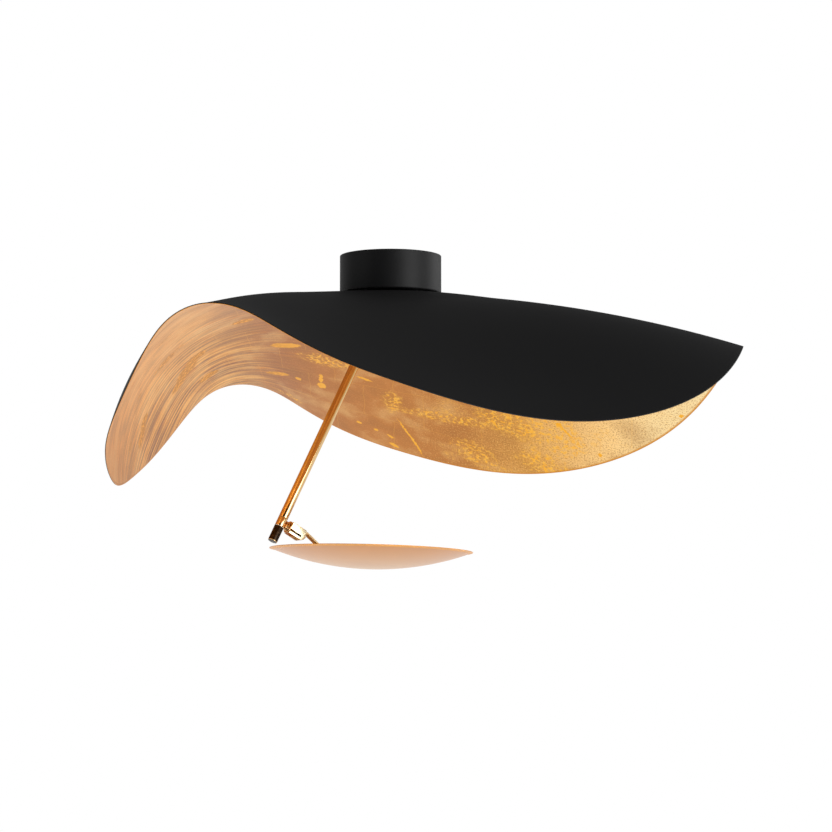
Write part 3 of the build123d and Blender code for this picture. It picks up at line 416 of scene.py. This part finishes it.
# Leaf squares, laid by hand in staggered rows, so their overlaps show as faint wandering gold lines.
leaf_square = 80 * mm
wobble_size, wobble_reach = 25 * mm, 7 * mm
wobble = node(tree, "TexNoise", {"Vector": blank, "Scale": 1 / wobble_size, "Detail": 3.0}).outputs["Color"]
wobble_out = node(tree, "VectorMath", {0: wobble, 1: (0.5, 0.5, 0.5)}, operation="SUBTRACT")
wobble_out = node(tree, "VectorMath", {0: wobble_out, "Scale": wobble_reach}, operation="SCALE")
loose_place = node(tree, "VectorMath", {0: blank, 1: wobble_out}, operation="ADD")
squares = node(tree, "TexBrick", {
    "Vector": loose_place,
    "Color1": hex_colour("#000000"),
    "Color2": hex_colour("#ffffff"),
    "Scale": 1.0,
    "Mortar Size": 0.5 * mm,
    "Mortar Smooth": 0.6,
    "Brick Width": leaf_square,
    "Row Height": leaf_square,
})
lap_share = node(tree, "Math", {0: squares.outputs["Fac"], 1: 0.35}, operation="MULTIPLY")
tone = node(tree, "MixRGB", {"Fac": lap_share, "Color1": tone, "Color2": hex_colour("#f0b24e")})

# Crazing: a broken net of fine bright cracks with flecks between, in patches and at the places listed below.
crack_spacing = 9 * mm
tear_size, tear_reach = 5 * mm, 6 * mm
fine_warp = node(tree, "TexNoise", {"Vector": blank, "Scale": 1 / tear_size, "Detail": 4.0}).outputs["Color"]
fine_out = node(tree, "VectorMath", {0: fine_warp, 1: (0.5, 0.5, 0.5)}, operation="SUBTRACT")
fine_out = node(tree, "VectorMath", {0: fine_out, "Scale": tear_reach}, operation="SCALE")
torn_place = node(tree, "VectorMath", {0: loose_place, 1: fine_out}, operation="ADD")
net = {"Vector": torn_place, "Scale": 1 / crack_spacing}
craze = node(tree, "TexVoronoi", net, feature="DISTANCE_TO_EDGE").outputs["Distance"]
crack = node(tree, "MapRange", {"Value": craze, "From Min": 0.12, "From Max": 0.04})


def nearest(places):
    """How far out a point is from the nearest of some ellipses, where 1 is its edge.

    Each ellipse has its place along and across, its length and its width in mm, and its turn in degrees.
    """
    least = None
    for along_mm, across_mm, length, width, turn in places:
        inside = node(tree, "Mapping", {
            "Vector": torn_place,
            "Location": (along_mm * mm, across_mm * mm, 0),
            "Rotation": (0, 0, radians(turn)),
            "Scale": (length / 2 * mm, width / 2 * mm, 1),
        }, vector_type="TEXTURE")
        reach = node(tree, "VectorMath", {0: inside}, operation="LENGTH").outputs["Value"]
        if least is None:
            least = reach
        else:
            least = node(tree, "Math", {0: least, 1: reach}, operation="MINIMUM")
    return least


crazed_places = [
    (-88, 267, 80, 34, 8),
    (-163, 431, 48, 14, 18),
    (-2, 350, 26, 50, 8),
    (72, 358, 120, 20, -6),
    (160, 335, 90, 50, 10),
    (205, 400, 70, 40, 0),
    (110, 420, 60, 40, 20),
    (-230, -300, 90, 40, 10),
    (120, -330, 120, 40, -12),
    (-40, -240, 60, 30, 30),
]
craze_zone = node(tree, "MapRange", {"Value": nearest(crazed_places), "From Min": 1.3, "From Max": 0.7})
patchy = node(tree, "MapRange", {"Value": wear, "From Min": 0.48, "From Max": 0.4, "To Max": 0.8})
in_middle = node(tree, "MapRange", {"Value": leaf_along, "From Min": 0.04, "From Max": 0.14})
past_middle = node(tree, "MapRange", {"Value": leaf_along, "From Min": 0.34, "From Max": 0.24})
in_middle = node(tree, "Math", {0: in_middle, 1: past_middle}, operation="MULTIPLY")
patchy = node(tree, "Math", {0: patchy, 1: in_middle}, operation="MULTIPLY")
craze_zone = node(tree, "Math", {0: craze_zone, 1: patchy}, operation="MAXIMUM")
craze_break = node(tree, "MapRange", {
    "Value": fine_warp,
    "From Min": 0.45,
    "From Max": 0.56,
    "To Min": 0.05,
})
craze_share = node(tree, "Math", {0: crack, 1: craze_zone}, operation="MULTIPLY")
craze_share = node(tree, "Math", {0: craze_share, 1: craze_break}, operation="MULTIPLY")
warm_share = node(tree, "Math", {0: craze_zone, 1: 0.22}, operation="MULTIPLY")
tone = node(tree, "MixRGB", {"Fac": warm_share, "Color1": tone, "Color2": hex_colour("#d89436")})
tone = node(tree, "MixRGB", {"Fac": craze_share, "Color1": tone, "Color2": hex_colour("#fcc558")})
flecks = node(tree, "MapRange", {"Value": fine_warp, "From Min": 0.54, "From Max": 0.58, "To Max": 0.8})
fleck_share = node(tree, "Math", {0: flecks, 1: craze_zone}, operation="MULTIPLY")
tone = node(tree, "MixRGB", {"Fac": fleck_share, "Color1": tone, "Color2": hex_colour("#f9b43c")})

# The last millimetres at the rim, where the leaf is folded round the edge and rubbed to a deeper gold.
from_centre = node(tree, "VectorMath", {0: blank, 1: (hole_offset, 0, 0)}, operation="ADD")
rim_reach = node(tree, "VectorMath", {0: from_centre}, operation="LENGTH").outputs["Value"]
rim_near, rim_full = blank_radius - 4 * mm, blank_radius - 1.5 * mm
at_rim = node(tree, "MapRange", {
    "Value": rim_reach,
    "From Min": rim_near,
    "From Max": rim_full,
    "To Max": 0.85,
})
tone = node(tree, "MixRGB", {"Fac": at_rim, "Color1": tone, "Color2": hex_colour("#cf861c")})

# Torn places, where the leaf has lifted off its ochre ground, and long scratches. The ground is darkest and
# most speckled in the tail.
torn_places = [
    (-248, -201, 24, 20, 0),
    (-289, 69, 16, 9, 0),
    (-313, 75, 34, 26, 0),
    (-333, 72, 8, 9, 0),
    (-278, 185, 36, 26, -20),
    (-298, 208, 46, 34, -40),
    (-317, 225, 30, 26, -30),
    (-197, 103, 30, 18, 0),
    (-149, 230, 46, 18, -8),
    (-387, 158, 26, 22, -30),
    (-402, 174, 36, 24, -40),
    (-430, 120, 18, 9, -20),
    (-372, 60, 12, 9, 0),
    (-277, 307, 34, 24, 0),
    (-172, 350, 40, 14, -15),
    (-138, 351, 9, 9, 0),
    (-101, 328, 7, 26, 4),
    (-101, 350, 14, 18, 6),
    (-38, 303, 24, 5, 18),
    (-47, 429, 8, 6, 0),
    (-26, 436, 6, 6, 0),
    (-6, 442, 12, 5, 30),
    (0, 462, 16, 6, 30),
    (22, 428, 80, 3.5, 66),
    (138, 343, 20, 3, 60),
    (232, 322, 32, 4, 45),
    (223, 312, 8, 9, 0),
    (385, 234, 7, 6, 0),
    (280, 351, 6, 6, 0),
    (-300, -60, 26, 8, 5),
    (-180, -320, 30, 9, 20),
    (60, -360, 26, 7, -15),
    (250, -250, 40, 4, -40),
    (330, 40, 24, 5, 10),
    (120, 180, 22, 7, 25),
    (-60, -130, 24, 8, -12),
]
torn = node(tree, "MapRange", {"Value": nearest(torn_places), "From Min": 1.1, "From Max": 0.85})
speckle_size = 5 * mm
speckle = node(tree, "TexNoise", {"Vector": blank, "Scale": 1 / speckle_size, "Detail": 3.0})
speckle_sharp = node(tree, "MapRange", {"Value": speckle, "From Min": 0.5, "From Max": 0.6})
ground_left = node(tree, "MapRange", {"Value": leaf_along, "From Min": -0.12, "From Max": -0.2})
ochre = node(tree, "MixRGB", {
    "Fac": ground_left,
    "Color1": hex_colour("#f7b53c"),
    "Color2": hex_colour("#cc8508"),
})
torn_tone = node(tree, "MixRGB", {"Fac": speckle_sharp, "Color1": ochre, "Color2": hex_colour("#f6ac30")})
tone = node(tree, "MixRGB", {"Fac": torn, "Color1": tone, "Color2": torn_tone})

# The varnish over the leaf is satin, and follows the wrinkles that the leaf was laid with.
wrinkle_size = 9 * mm
wrinkles = node(tree, "TexNoise", {
    "Vector": blank,
    "Scale": 1 / wrinkle_size,
    "Detail": 5.0,
    "Roughness": 0.6,
})
leaf_bump = node(tree, "Bump", {"Height": wrinkles, "Strength": 0.25, "Distance": 0.4 * mm})
varnish = node(tree, "MapRange", {"Value": grain, "To Min": 0.36, "To Max": 0.5})
gilding = node(tree, "BsdfPrincipled", {
    "Base Color": tone,
    "Metallic": 1.0,
    "Roughness": varnish,
    "Normal": leaf_bump,
})
node(tree, "OutputMaterial", {"Surface": gilding})

shade_mesh.materials.append(lacquer)
shade_mesh.materials.append(leaf)
face_rows = np.repeat(np.arange(row_count), spokes)
leaf_start = skin_rows + edge_rows
shade_mesh.polygons.foreach_set("material_index", (face_rows >= leaf_start).astype(int))
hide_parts("shade_sheet")
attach(shade, "root")


# Steel in the cup, the hub and the dish: the folded strap, the threaded tube with its washers and inner
# nuts, and the screws. It is zinc plated and passivated: a cool grey with faint yellow and blue clouds.
zinc, tree = new_material("zinc_plated_steel")
here = node(tree, "TexCoord").outputs["Object"]
cloud = node(tree, "TexNoise", {"Vector": here, "Scale": 1 / (12 * mm), "Detail": 4.0})
plating = node(tree, "ValToRGB", {"Fac": cloud})
plating.color_ramp.elements[0].position = 0.35
plating.color_ramp.elements[0].color = hex_colour("#a9b1ba")
plating.color_ramp.elements[1].position = 0.65
plating.color_ramp.elements[1].color = hex_colour("#c7c3b2")
drawn = node(tree, "TexNoise", {"Vector": here, "Scale": 1 / (0.8 * mm), "Detail": 2.0})
drawn_rough = node(tree, "MapRange", {"Value": drawn, "To Min": 0.24, "To Max": 0.42})
drawn_bump = node(tree, "Bump", {"Height": drawn, "Strength": 0.1, "Distance": 0.03 * mm})
steel = node(tree, "BsdfPrincipled", {
    "Base Color": plating,
    "Metallic": 1.0,
    "Roughness": drawn_rough,
    "Normal": drawn_bump,
})
node(tree, "OutputMaterial", {"Surface": steel})
paint(zinc, "ceiling_bracket", "earth_screw", "nipple", "tooth_washer", "upper_nut")
paint(zinc, "retainer_washer", "retainer_nut", "terminal_screws")
paint(zinc, "plate_screws", "board_screws", "block_screw", "bracket_screws", "bezel_screws")


# Supply inside the cup: a moulded driver stuck on a foam pad, and a terminal block with its lead. The
# plastics are matt from the tool's spark eroded grain, and the lead's soft PVC is smoother.
def grained(name, low, high, rough, grain_size):
    """A plastic or a paint between two close colours, with a fine grain that dulls it."""
    material, tree = new_material(name)
    here = node(tree, "TexCoord").outputs["Object"]
    grain = node(tree, "TexNoise", {"Vector": here, "Scale": 1 / grain_size, "Detail": 2.0})
    flow_size = 30 * mm
    flow = node(tree, "TexNoise", {"Vector": here, "Scale": 1 / flow_size, "Detail": 2.0})
    colour = node(tree, "ValToRGB", {"Fac": flow})
    colour.color_ramp.elements[0].color = hex_colour(low)
    colour.color_ramp.elements[1].color = hex_colour(high)
    roughness = node(tree, "MapRange", {"Value": grain, "To Min": rough - 0.06, "To Max": rough + 0.06})
    bump = node(tree, "Bump", {"Height": grain, "Strength": 0.25, "Distance": 0.05 * mm})
    plastic = node(tree, "BsdfPrincipled", {"Base Color": colour, "Roughness": roughness, "Normal": bump})
    node(tree, "OutputMaterial", {"Surface": plastic})
    return material


# Polycarbonate is an even matt white, and polyamide is creamier and a little slick. Foam is dull and open,
# and the leads' sheath has a soft dark shine.
paint(grained("polycarbonate_case", "#dddcd6", "#e8e7e2", 0.45, 0.5 * mm), "led_driver")
paint(grained("polyamide_terminal", "#cfcabb", "#dcd8ca", 0.38, 0.4 * mm), "terminal_block")
paint(grained("closed_cell_foam", "#2b2c2e", "#37383b", 0.85, 1.2 * mm), "driver_pad")
paint(grained("pvc_lead_sheath", "#16171a", "#202126", 0.32, 0.6 * mm), "driver_lead", "arm_lead")


# Brass of the hub, arm, swivel and bracket. It is turned, drawn or folded, then polished bright and
# lacquered, so it mirrors the room in bands. Faint polishing marks only soften the edges of the bands.
brass, tree = new_material("polished_lacquered_brass")
here = node(tree, "TexCoord").outputs["Object"]
tarnish = node(tree, "TexNoise", {"Vector": here, "Scale": 1 / (20 * mm), "Detail": 3.0})
brass_tone = node(tree, "ValToRGB", {"Fac": tarnish})
brass_tone.color_ramp.elements[0].position = 0.3
brass_tone.color_ramp.elements[0].color = hex_colour("#d4ae7a")
brass_tone.color_ramp.elements[1].position = 0.7
brass_tone.color_ramp.elements[1].color = hex_colour("#e2c08e")
polish = node(tree, "TexNoise", {"Vector": here, "Scale": 1 / (14 * mm), "Detail": 2.0})
polish_rough = node(tree, "MapRange", {"Value": polish, "To Min": 0.1, "To Max": 0.17})
bright = node(tree, "BsdfPrincipled", {"Base Color": brass_tone, "Metallic": 1.0, "Roughness": polish_rough})
node(tree, "OutputMaterial", {"Surface": bright})
paint(brass, "bottom_plate", "lower_nut", "swivel_hub", "hub_cover", "pivot_screw", "pivot_nut")
paint(brass, "arm_tongue", "end_plug", "disc_bracket")


# Arm tube. Drawn brass tube, 12 mm across, that takes the tongue's plug at its top and the end plug at its
# foot. It is polished and lacquered with the rest of the arm.
def rounded(corners, steps=4):
    """A closed outline whose corners, given as x, y and radius, are turned to arcs."""
    outline = []
    for i, (x, y, radius) in enumerate(corners):
        corner = Vector((x, y))
        if radius == 0:
            outline.append(tuple(corner))
            continue
        back = (Vector(corners[i - 1][:2]) - corner).normalized()
        ahead = (Vector(corners[(i + 1) % len(corners)][:2]) - corner).normalized()
        half_turn = back.angle(ahead) / 2
        centre = corner + (back + ahead).normalized() * radius / sin(half_turn)
        first = corner + back * radius / tan(half_turn) - centre
        last = corner + ahead * radius / tan(half_turn) - centre
        sweep = first.angle(last)
        for k in range(steps + 1):
            share = k / steps
            spoke = (first * sin((1 - share) * sweep) + last * sin(share * sweep)) / sin(sweep)
            outline.append(tuple(centre + spoke))
    return outline


def turned(mesh, outline, base, axis, around=96, second=()):
    """Adds a turned piece to a bmesh: a closed section of (radius, height) points about an axis.

    The faces that start from the section's points in second take the second material.
    """
    turn = Vector(axis).to_track_quat("Z", "X").to_matrix()
    rings = []
    for radius, height in outline:
        ring = []
        for i in range(around):
            spoke = Vector((radius * cos(2 * pi * i / around), radius * sin(2 * pi * i / around), height))
            ring.append(mesh.verts.new(base + turn @ spoke))
        rings.append(ring)
    for k, ring in enumerate(rings):
        above = rings[(k + 1) % len(rings)]
        for i in range(around):
            face = mesh.faces.new((ring[i], ring[i - 1], above[i - 1], above[i]))
            face.material_index = int(k in second)


sharp_angle = 32


def piece(name, mesh, materials, body, *nodes):
    """Makes a bmesh the piece that stands for frame nodes on a body."""
    bmesh.ops.remove_doubles(mesh, verts=mesh.verts, dist=0.001 * mm)
    bmesh.ops.dissolve_degenerate(mesh, edges=mesh.edges, dist=0.0001 * mm)
    bmesh.ops.recalc_face_normals(mesh, faces=mesh.faces)
    data = bpy.data.meshes.new(name)
    mesh.to_mesh(data)
    mesh.free()
    for material in materials:
        data.materials.append(material)
    data.polygons.foreach_set("use_smooth", [True] * len(data.polygons))
    data.set_sharp_from_angle(angle=radians(sharp_angle))
    made = bpy.data.objects.new(name, data)
    scene.collection.objects.link(made)
    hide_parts(*nodes)
    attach(made, body)
    return made


arm_azimuth, arm_lean = radians(214), radians(28)
outward = Vector((cos(arm_azimuth), sin(arm_azimuth), 0))
down_rod = outward * sin(arm_lean) - Vector((0, 0, cos(arm_lean)))
down_neck = -outward * cos(arm_lean) - Vector((0, 0, sin(arm_lean)))
across_arm = down_neck.cross(down_rod)
pivot_reach, pivot_drop = 30 * mm, 98.04 * mm
pivot = outward * pivot_reach - Vector((0, 0, pivot_drop))
rod_radius = 6 * mm
tube_wall = 1 * mm
tube_start, tube_end = 16 * mm, 276.9 * mm
lip = 0.3 * mm
mesh = bmesh.new()
tube_section = rounded([
    (rod_radius - tube_wall, tube_start, 0),
    (rod_radius, tube_start, lip),
    (rod_radius, tube_end, lip),
    (rod_radius - tube_wall, tube_end, 0),
])
turned(mesh, tube_section, pivot, down_rod, around=128)
piece("drawn_arm_tube", mesh, [brass], "arm", "arm_tube")


# End stub. A turned end piece with a spigot that carries the swivel and screws into the end plug, with a
# thin nylon washer between. It is drawn in a dark bronze, nearly black and brown in places: painted dark
# reflection and shade on the turned metal.
dark_bronze_and_shade, tree = new_material("dark_bronze_and_painted_shade")
here = node(tree, "TexCoord").outputs["Object"]
dark_mottle = node(tree, "TexNoise", {"Vector": here, "Scale": 1 / (4 * mm), "Detail": 5.0, "Roughness": 0.65})
painted_dark_tone = node(tree, "ValToRGB", {"Fac": dark_mottle})
painted_dark_tone.color_ramp.elements[0].position = 0.35
painted_dark_tone.color_ramp.elements[0].color = hex_colour("#120c08")
painted_dark_tone.color_ramp.elements[1].position = 0.7
painted_dark_tone.color_ramp.elements[1].color = hex_colour("#4a3826")
dark_rough = node(tree, "MapRange", {"Value": dark_mottle, "To Min": 0.22, "To Max": 0.4})
dark = node(tree, "BsdfPrincipled", {"Base Color": painted_dark_tone, "Metallic": 0.9, "Roughness": dark_rough})
node(tree, "OutputMaterial", {"Surface": dark})

# The stub's side takes the arm's brass over its last 0.6 mm and round the edge of its end.
stub_start, stub_end = 289.5 * mm, 310 * mm
brass_edge, end_round = 0.6 * mm, 0.4 * mm
brass_faces = range(6, 11)
mesh = bmesh.new()
stub_section = rounded([
    (0, stub_start, 0),
    (rod_radius, stub_start, lip),
    (rod_radius, stub_end - brass_edge, 0),
    (rod_radius, stub_end, end_round),
    (0, stub_end, 0),
])
turned(mesh, stub_section, pivot, down_rod, second=brass_faces)
piece("bronze_end_stub", mesh, [dark_bronze_and_shade, brass], "arm", "end_stub")
paint(dark_bronze_and_shade, "cup_screws", "clamp_screw")

# Nylon in its natural colour is cream and a little waxy.
nylon = grained("natural_nylon", "#cdc7b4", "#dcd6c5", 0.4, 0.4 * mm)
washer_start = 289 * mm
spigot_hole = 3.6 * mm
washer_round = 0.1 * mm
mesh = bmesh.new()
washer_section = rounded([
    (spigot_hole, washer_start, 0),
    (rod_radius, washer_start, washer_round),
    (rod_radius, stub_start, washer_round),
    (spigot_hole, stub_start, 0),
])
turned(mesh, washer_section, pivot, down_rod)
piece("nylon_stub_washer", mesh, [nylon], "arm", "stub_washer")
paint(nylon, "hub_washer")


# Swivel. A brass sleeve that turns on the stub's spigot, in one with a neck that is turned in two beads and a
# flange. Its small polished curves gather the whole studio in a few bright dots.
sleeve_start, sleeve_end = 277 * mm, 289 * mm
sleeve_middle = (sleeve_start + sleeve_end) / 2
hole_round = 0.2 * mm
neck_radius, neck_end = 4 * mm, 24.4 * mm
neck_sunk = 1 * mm
bead_length, bead_root = 2.5 * mm, 3.2 * mm
bead_radii = [5.5 * mm, 6.2 * mm]
bead_steps = 10
flange_start, flange_end, flange_radius = 11 * mm, 12.8 * mm, 8 * mm
turned_round = 0.4 * mm
neck_base = pivot + down_rod * sleeve_middle
mesh = bmesh.new()
sleeve_section = rounded([
    (spigot_hole, sleeve_start, hole_round),
    (rod_radius, sleeve_start, lip),
    (rod_radius, sleeve_end, lip),
    (spigot_hole, sleeve_end, hole_round),
])
turned(mesh, sleeve_section, pivot, down_rod)
neck_section = [(0, rod_radius - neck_sunk)]
for i, bead_radius in enumerate(bead_radii):
    bead_start = rod_radius + i * bead_length
    for k in range(bead_steps + 1):
        turn = pi * k / bead_steps
        rise = bead_root + (bead_radius - bead_root) * sin(turn)
        neck_section.append((rise, bead_start + bead_length / 2 * (1 - cos(turn))))
neck_section += rounded([
    (neck_radius, flange_start, 0),
    (flange_radius, flange_start, turned_round),
    (flange_radius, flange_end, turned_round),
    (neck_radius, flange_end, 0),
    (neck_radius, neck_end, turned_round),
    (0, neck_end, 0),
])
turned(mesh, neck_section, neck_base, down_neck)
piece("turned_swivel", mesh, [brass], "swivel", "swivel_sleeve")


# Clamp block. A milled brass block, split by a slot and pinched on the neck by a screw. It is drawn near
# white, paler than the arm: painted highlight on its brass. The slot's walls are drawn dark: painted shade.
pale_brass_highlight, tree = new_material("pale_brass_painted_highlight")
here = node(tree, "TexCoord").outputs["Object"]
block_mottle = node(tree, "TexNoise", {"Vector": here, "Scale": 1 / (6 * mm), "Detail": 3.0})
painted_highlight_tone = node(tree, "ValToRGB", {"Fac": block_mottle})
painted_highlight_tone.color_ramp.elements[0].color = hex_colour("#f1dcae")
painted_highlight_tone.color_ramp.elements[1].color = hex_colour("#fbf0d4")
block_rough = node(tree, "MapRange", {"Value": block_mottle, "To Min": 0.2, "To Max": 0.3})
pale_block_brass = node(tree, "BsdfPrincipled", {"Base Color": painted_highlight_tone, "Metallic": 1.0, "Roughness": block_rough})
node(tree, "OutputMaterial", {"Surface": pale_block_brass})

block_start, block_end = 13 * mm, 35 * mm
block_half, block_depth = 7.5 * mm, 12 * mm
block_top, block_foot = sleeve_middle - block_half, sleeve_middle + block_half
corner_round, heel_round, edge_round = 0.4 * mm, 4 * mm, 0.35 * mm
slot_middle, slot_half, slot_end = sleeve_middle + 3 * mm, 1.4 * mm, 30 * mm
slot_steps = 12
block_outline = rounded([
    (block_start, block_top, corner_round),
    (block_end, block_top, corner_round),
    (block_end, block_foot, heel_round),
    (block_start, block_foot, corner_round),
])
slot_outline = [(block_start, slot_middle + slot_half)]
for k in range(slot_steps + 1):
    turn = pi / 2 - pi * k / slot_steps
    slot_outline.append((slot_end + slot_half * cos(turn), slot_middle + slot_half * sin(turn)))
slot_outline.append((block_start, slot_middle - slot_half))
outline = block_outline + slot_outline
mesh = bmesh.new()
front, back = [], []
for along_neck, along_rod in outline:
    middle = pivot + down_neck * along_neck + down_rod * along_rod
    front.append(mesh.verts.new(middle + across_arm * block_depth / 2))
    back.append(mesh.verts.new(middle - across_arm * block_depth / 2))
caps = [mesh.faces.new(front), mesh.faces.new(back[::-1])]
# The walls inside the slot take the dark bronze, as painted shade in the slot.
for i in range(len(outline)):
    wall = mesh.faces.new((front[i - 1], front[i], back[i], back[i - 1]))
    wall.material_index = int(i > len(block_outline))
rim_edges = {edge for cap in caps for edge in cap.edges}
bmesh.ops.bevel(mesh, geom=list(rim_edges), offset=edge_round, segments=3, profile=0.5, affect="EDGES")
piece("milled_clamp_block", mesh, [pale_brass_highlight, dark_bronze_and_shade], "disc", "clamp_block")


# Dish. Spun aluminium with a rolled rim, gilded and varnished in satin. The lathe's rings show faintly, and
# the varnish whitens where the eye grazes it. The bowl is paler towards its middle, which is painted
# reflection of the white floor, and the rim is a brighter gold than the bowl, which is painted highlight.
satin, tree = new_material("satin_gilded_aluminium")
here = node(tree, "TexCoord").outputs["Object"]
disc_reach, disc_drop = 29 * mm, 378 * mm
disc_middle = outward * disc_reach - Vector((0, 0, disc_drop))
from_middle = node(tree, "VectorMath", {0: here, 1: disc_middle}, operation="SUBTRACT")
flat_out = node(tree, "VectorMath", {0: from_middle, 1: (1, 1, 0)}, operation="MULTIPLY")
ring_radius = node(tree, "VectorMath", {0: flat_out}, operation="LENGTH").outputs["Value"]
ring_place = node(tree, "CombineXYZ", {"X": ring_radius})
rings = node(tree, "TexNoise", {"Vector": ring_place, "Scale": 1 / (1.8 * mm), "Detail": 3.0})
cloud = node(tree, "TexNoise", {"Vector": here, "Scale": 1 / (60 * mm), "Detail": 3.0})
# The bowl is paler towards its middle: painted reflection of the white floor below.
painted_reflection_share = node(tree, "MapRange", {"Value": ring_radius, "From Min": 20 * mm, "From Max": 126 * mm})
bowl_tone_and_reflection = node(tree, "ValToRGB", {"Fac": painted_reflection_share})
bowl_tone_and_reflection.color_ramp.elements[0].color = hex_colour("#dcae7a")
bowl_tone_and_reflection.color_ramp.elements[1].color = hex_colour("#cf8a42")
cloud_share = node(tree, "MapRange", {"Value": cloud, "From Min": 0.4, "From Max": 0.7, "To Max": 0.3})
bowl_tone_and_reflection = node(tree, "MixRGB", {"Fac": cloud_share, "Color1": bowl_tone_and_reflection, "Color2": hex_colour("#c98e5c")})
satin_rough = node(tree, "MapRange", {"Value": rings, "To Min": 0.36, "To Max": 0.5})
ring_bump = node(tree, "Bump", {"Height": rings, "Strength": 0.12, "Distance": 0.08 * mm})
gilt = node(tree, "BsdfPrincipled", {
    "Base Color": bowl_tone_and_reflection,
    "Metallic": 0.85,
    "Roughness": satin_rough,
    "Normal": ring_bump,
    "Coat Weight": 0.6,
    "Coat Roughness": 0.3,
})
node(tree, "OutputMaterial", {"Surface": gilt})

# The rim's gold is deeper in colour and smoother than the bowl's, and brighter: painted highlight on the
# rolled rim.
rim_highlight_gold, tree = new_material("rim_gold_painted_highlight")
here = node(tree, "TexCoord").outputs["Object"]
rim_mottle = node(tree, "TexNoise", {"Vector": here, "Scale": 1 / (8 * mm), "Detail": 3.0})
rim_highlight_tone = node(tree, "ValToRGB", {"Fac": rim_mottle})
rim_highlight_tone.color_ramp.elements[0].color = hex_colour("#dc8f2c")
rim_highlight_tone.color_ramp.elements[1].color = hex_colour("#eaa848")
rim_rough = node(tree, "MapRange", {"Value": rim_mottle, "To Min": 0.3, "To Max": 0.42})
rim_gold = node(tree, "BsdfPrincipled", {"Base Color": rim_highlight_tone, "Metallic": 0.7, "Roughness": rim_rough})
node(tree, "OutputMaterial", {"Surface": rim_gold})

disc_lean = radians(1.4)
disc_up = Vector((sin(disc_lean), 0, cos(disc_lean)))
disc_radius, disc_depth, dish_wall, rim_width = 129 * mm, 24 * mm, 1.5 * mm, 3 * mm
inner_radius, inner_depth = disc_radius - rim_width, disc_depth - dish_wall
outer_sphere = (disc_radius**2 + disc_depth**2) / (2 * disc_depth)
inner_sphere = (inner_radius**2 + inner_depth**2) / (2 * inner_depth)
bowl_steps = 40


def bowl(sphere, depth, last):
    """A bowl's section from its middle out to its edge in the rim's plane."""
    reach = asin(last / sphere)
    turns = [reach * k / bowl_steps for k in range(bowl_steps + 1)]
    return [(sphere * sin(turn), sphere * (1 - cos(turn)) - depth) for turn in turns]


rim_half, rim_steps = 0.45 * mm, 8
rim_inside = inner_radius + 0.4 * mm
dish_section = bowl(outer_sphere, disc_depth, disc_radius)[:-1]
bowl_count = len(dish_section)
for k in range(rim_steps + 1):
    turn = -pi / 2 + pi * k / rim_steps
    dish_section.append((disc_radius - rim_half + rim_half * cos(turn), rim_half * (sin(turn) - 1)))
rim_count = len(dish_section)
dish_section += [(rim_inside, 0)]
dish_section += bowl(inner_sphere, inner_depth, inner_radius)[::-1]
rim_faces = range(bowl_count - 2, rim_count + 1)
mesh = bmesh.new()
turned(mesh, dish_section, disc_middle, disc_up, around=256, second=rim_faces)
piece("gilded_dish", mesh, [satin, rim_highlight_gold], "disc", "disc_dish")


# Light inside the dish: a white painted plate, the board with its chips, and a moulded opal diffuser under
# a painted ring. The diffuser is cloudy acrylic, so it glows evenly and hides the chips.

# Satin paint on the plate and the ring is an even warm white.
painted = grained("white_satin_paint", "#e9e8e4", "#f1f0ec", 0.4, 0.9 * mm)
paint(painted, "disc_plate", "diffuser_bezel")

# The board's white mask is slicker, and shows the copper lands beneath it as faint raised fields.
solder_mask, tree = new_material("white_solder_mask")
here = node(tree, "TexCoord").outputs["Object"]
lands = {"Vector": here, "Scale": 1 / (9 * mm)}
copper_lands = node(tree, "TexVoronoi", lands, feature="DISTANCE_TO_EDGE")
land_edge = copper_lands.outputs["Distance"]
land_share = node(tree, "MapRange", {"Value": land_edge, "From Min": 0.06, "From Max": 0.1})
mask_tone = node(tree, "MixRGB", {
    "Fac": land_share,
    "Color1": hex_colour("#d9d9d2"),
    "Color2": hex_colour("#efefe9"),
})
mask_bump = node(tree, "Bump", {"Height": land_share, "Strength": 0.3, "Distance": 0.03 * mm})
mask = node(tree, "BsdfPrincipled", {"Base Color": mask_tone, "Roughness": 0.35, "Normal": mask_bump})
node(tree, "OutputMaterial", {"Surface": mask})
paint(solder_mask, "led_board")

# The chips' phosphor gel is an unlit yellow, and nearly glossy.
paint(grained("phosphor_gel", "#e3c24a", "#ecd066", 0.25, 0.4 * mm), "led_chips")

# Opal acrylic is milky: light goes some way in, so it looks soft and even.
milk_depth = 4 * mm
opal, tree = new_material("opal_acrylic")
here = node(tree, "TexCoord").outputs["Object"]
haze = node(tree, "TexNoise", {"Vector": here, "Scale": 1 / (25 * mm), "Detail": 2.0})
haze_tone = node(tree, "ValToRGB", {"Fac": haze})
haze_tone.color_ramp.elements[0].color = hex_colour("#ecebe6")
haze_tone.color_ramp.elements[1].color = hex_colour("#f6f5f1")
haze_rough = node(tree, "MapRange", {"Value": haze, "To Min": 0.3, "To Max": 0.38})
acrylic = node(tree, "BsdfPrincipled", {
    "Base Color": haze_tone,
    "Roughness": haze_rough,
    "IOR": 1.49,
    "Subsurface Weight": 0.6,
    "Subsurface Radius": (milk_depth, milk_depth, milk_depth),
})
node(tree, "OutputMaterial", {"Surface": acrylic})
paint(opal, "diffuser")
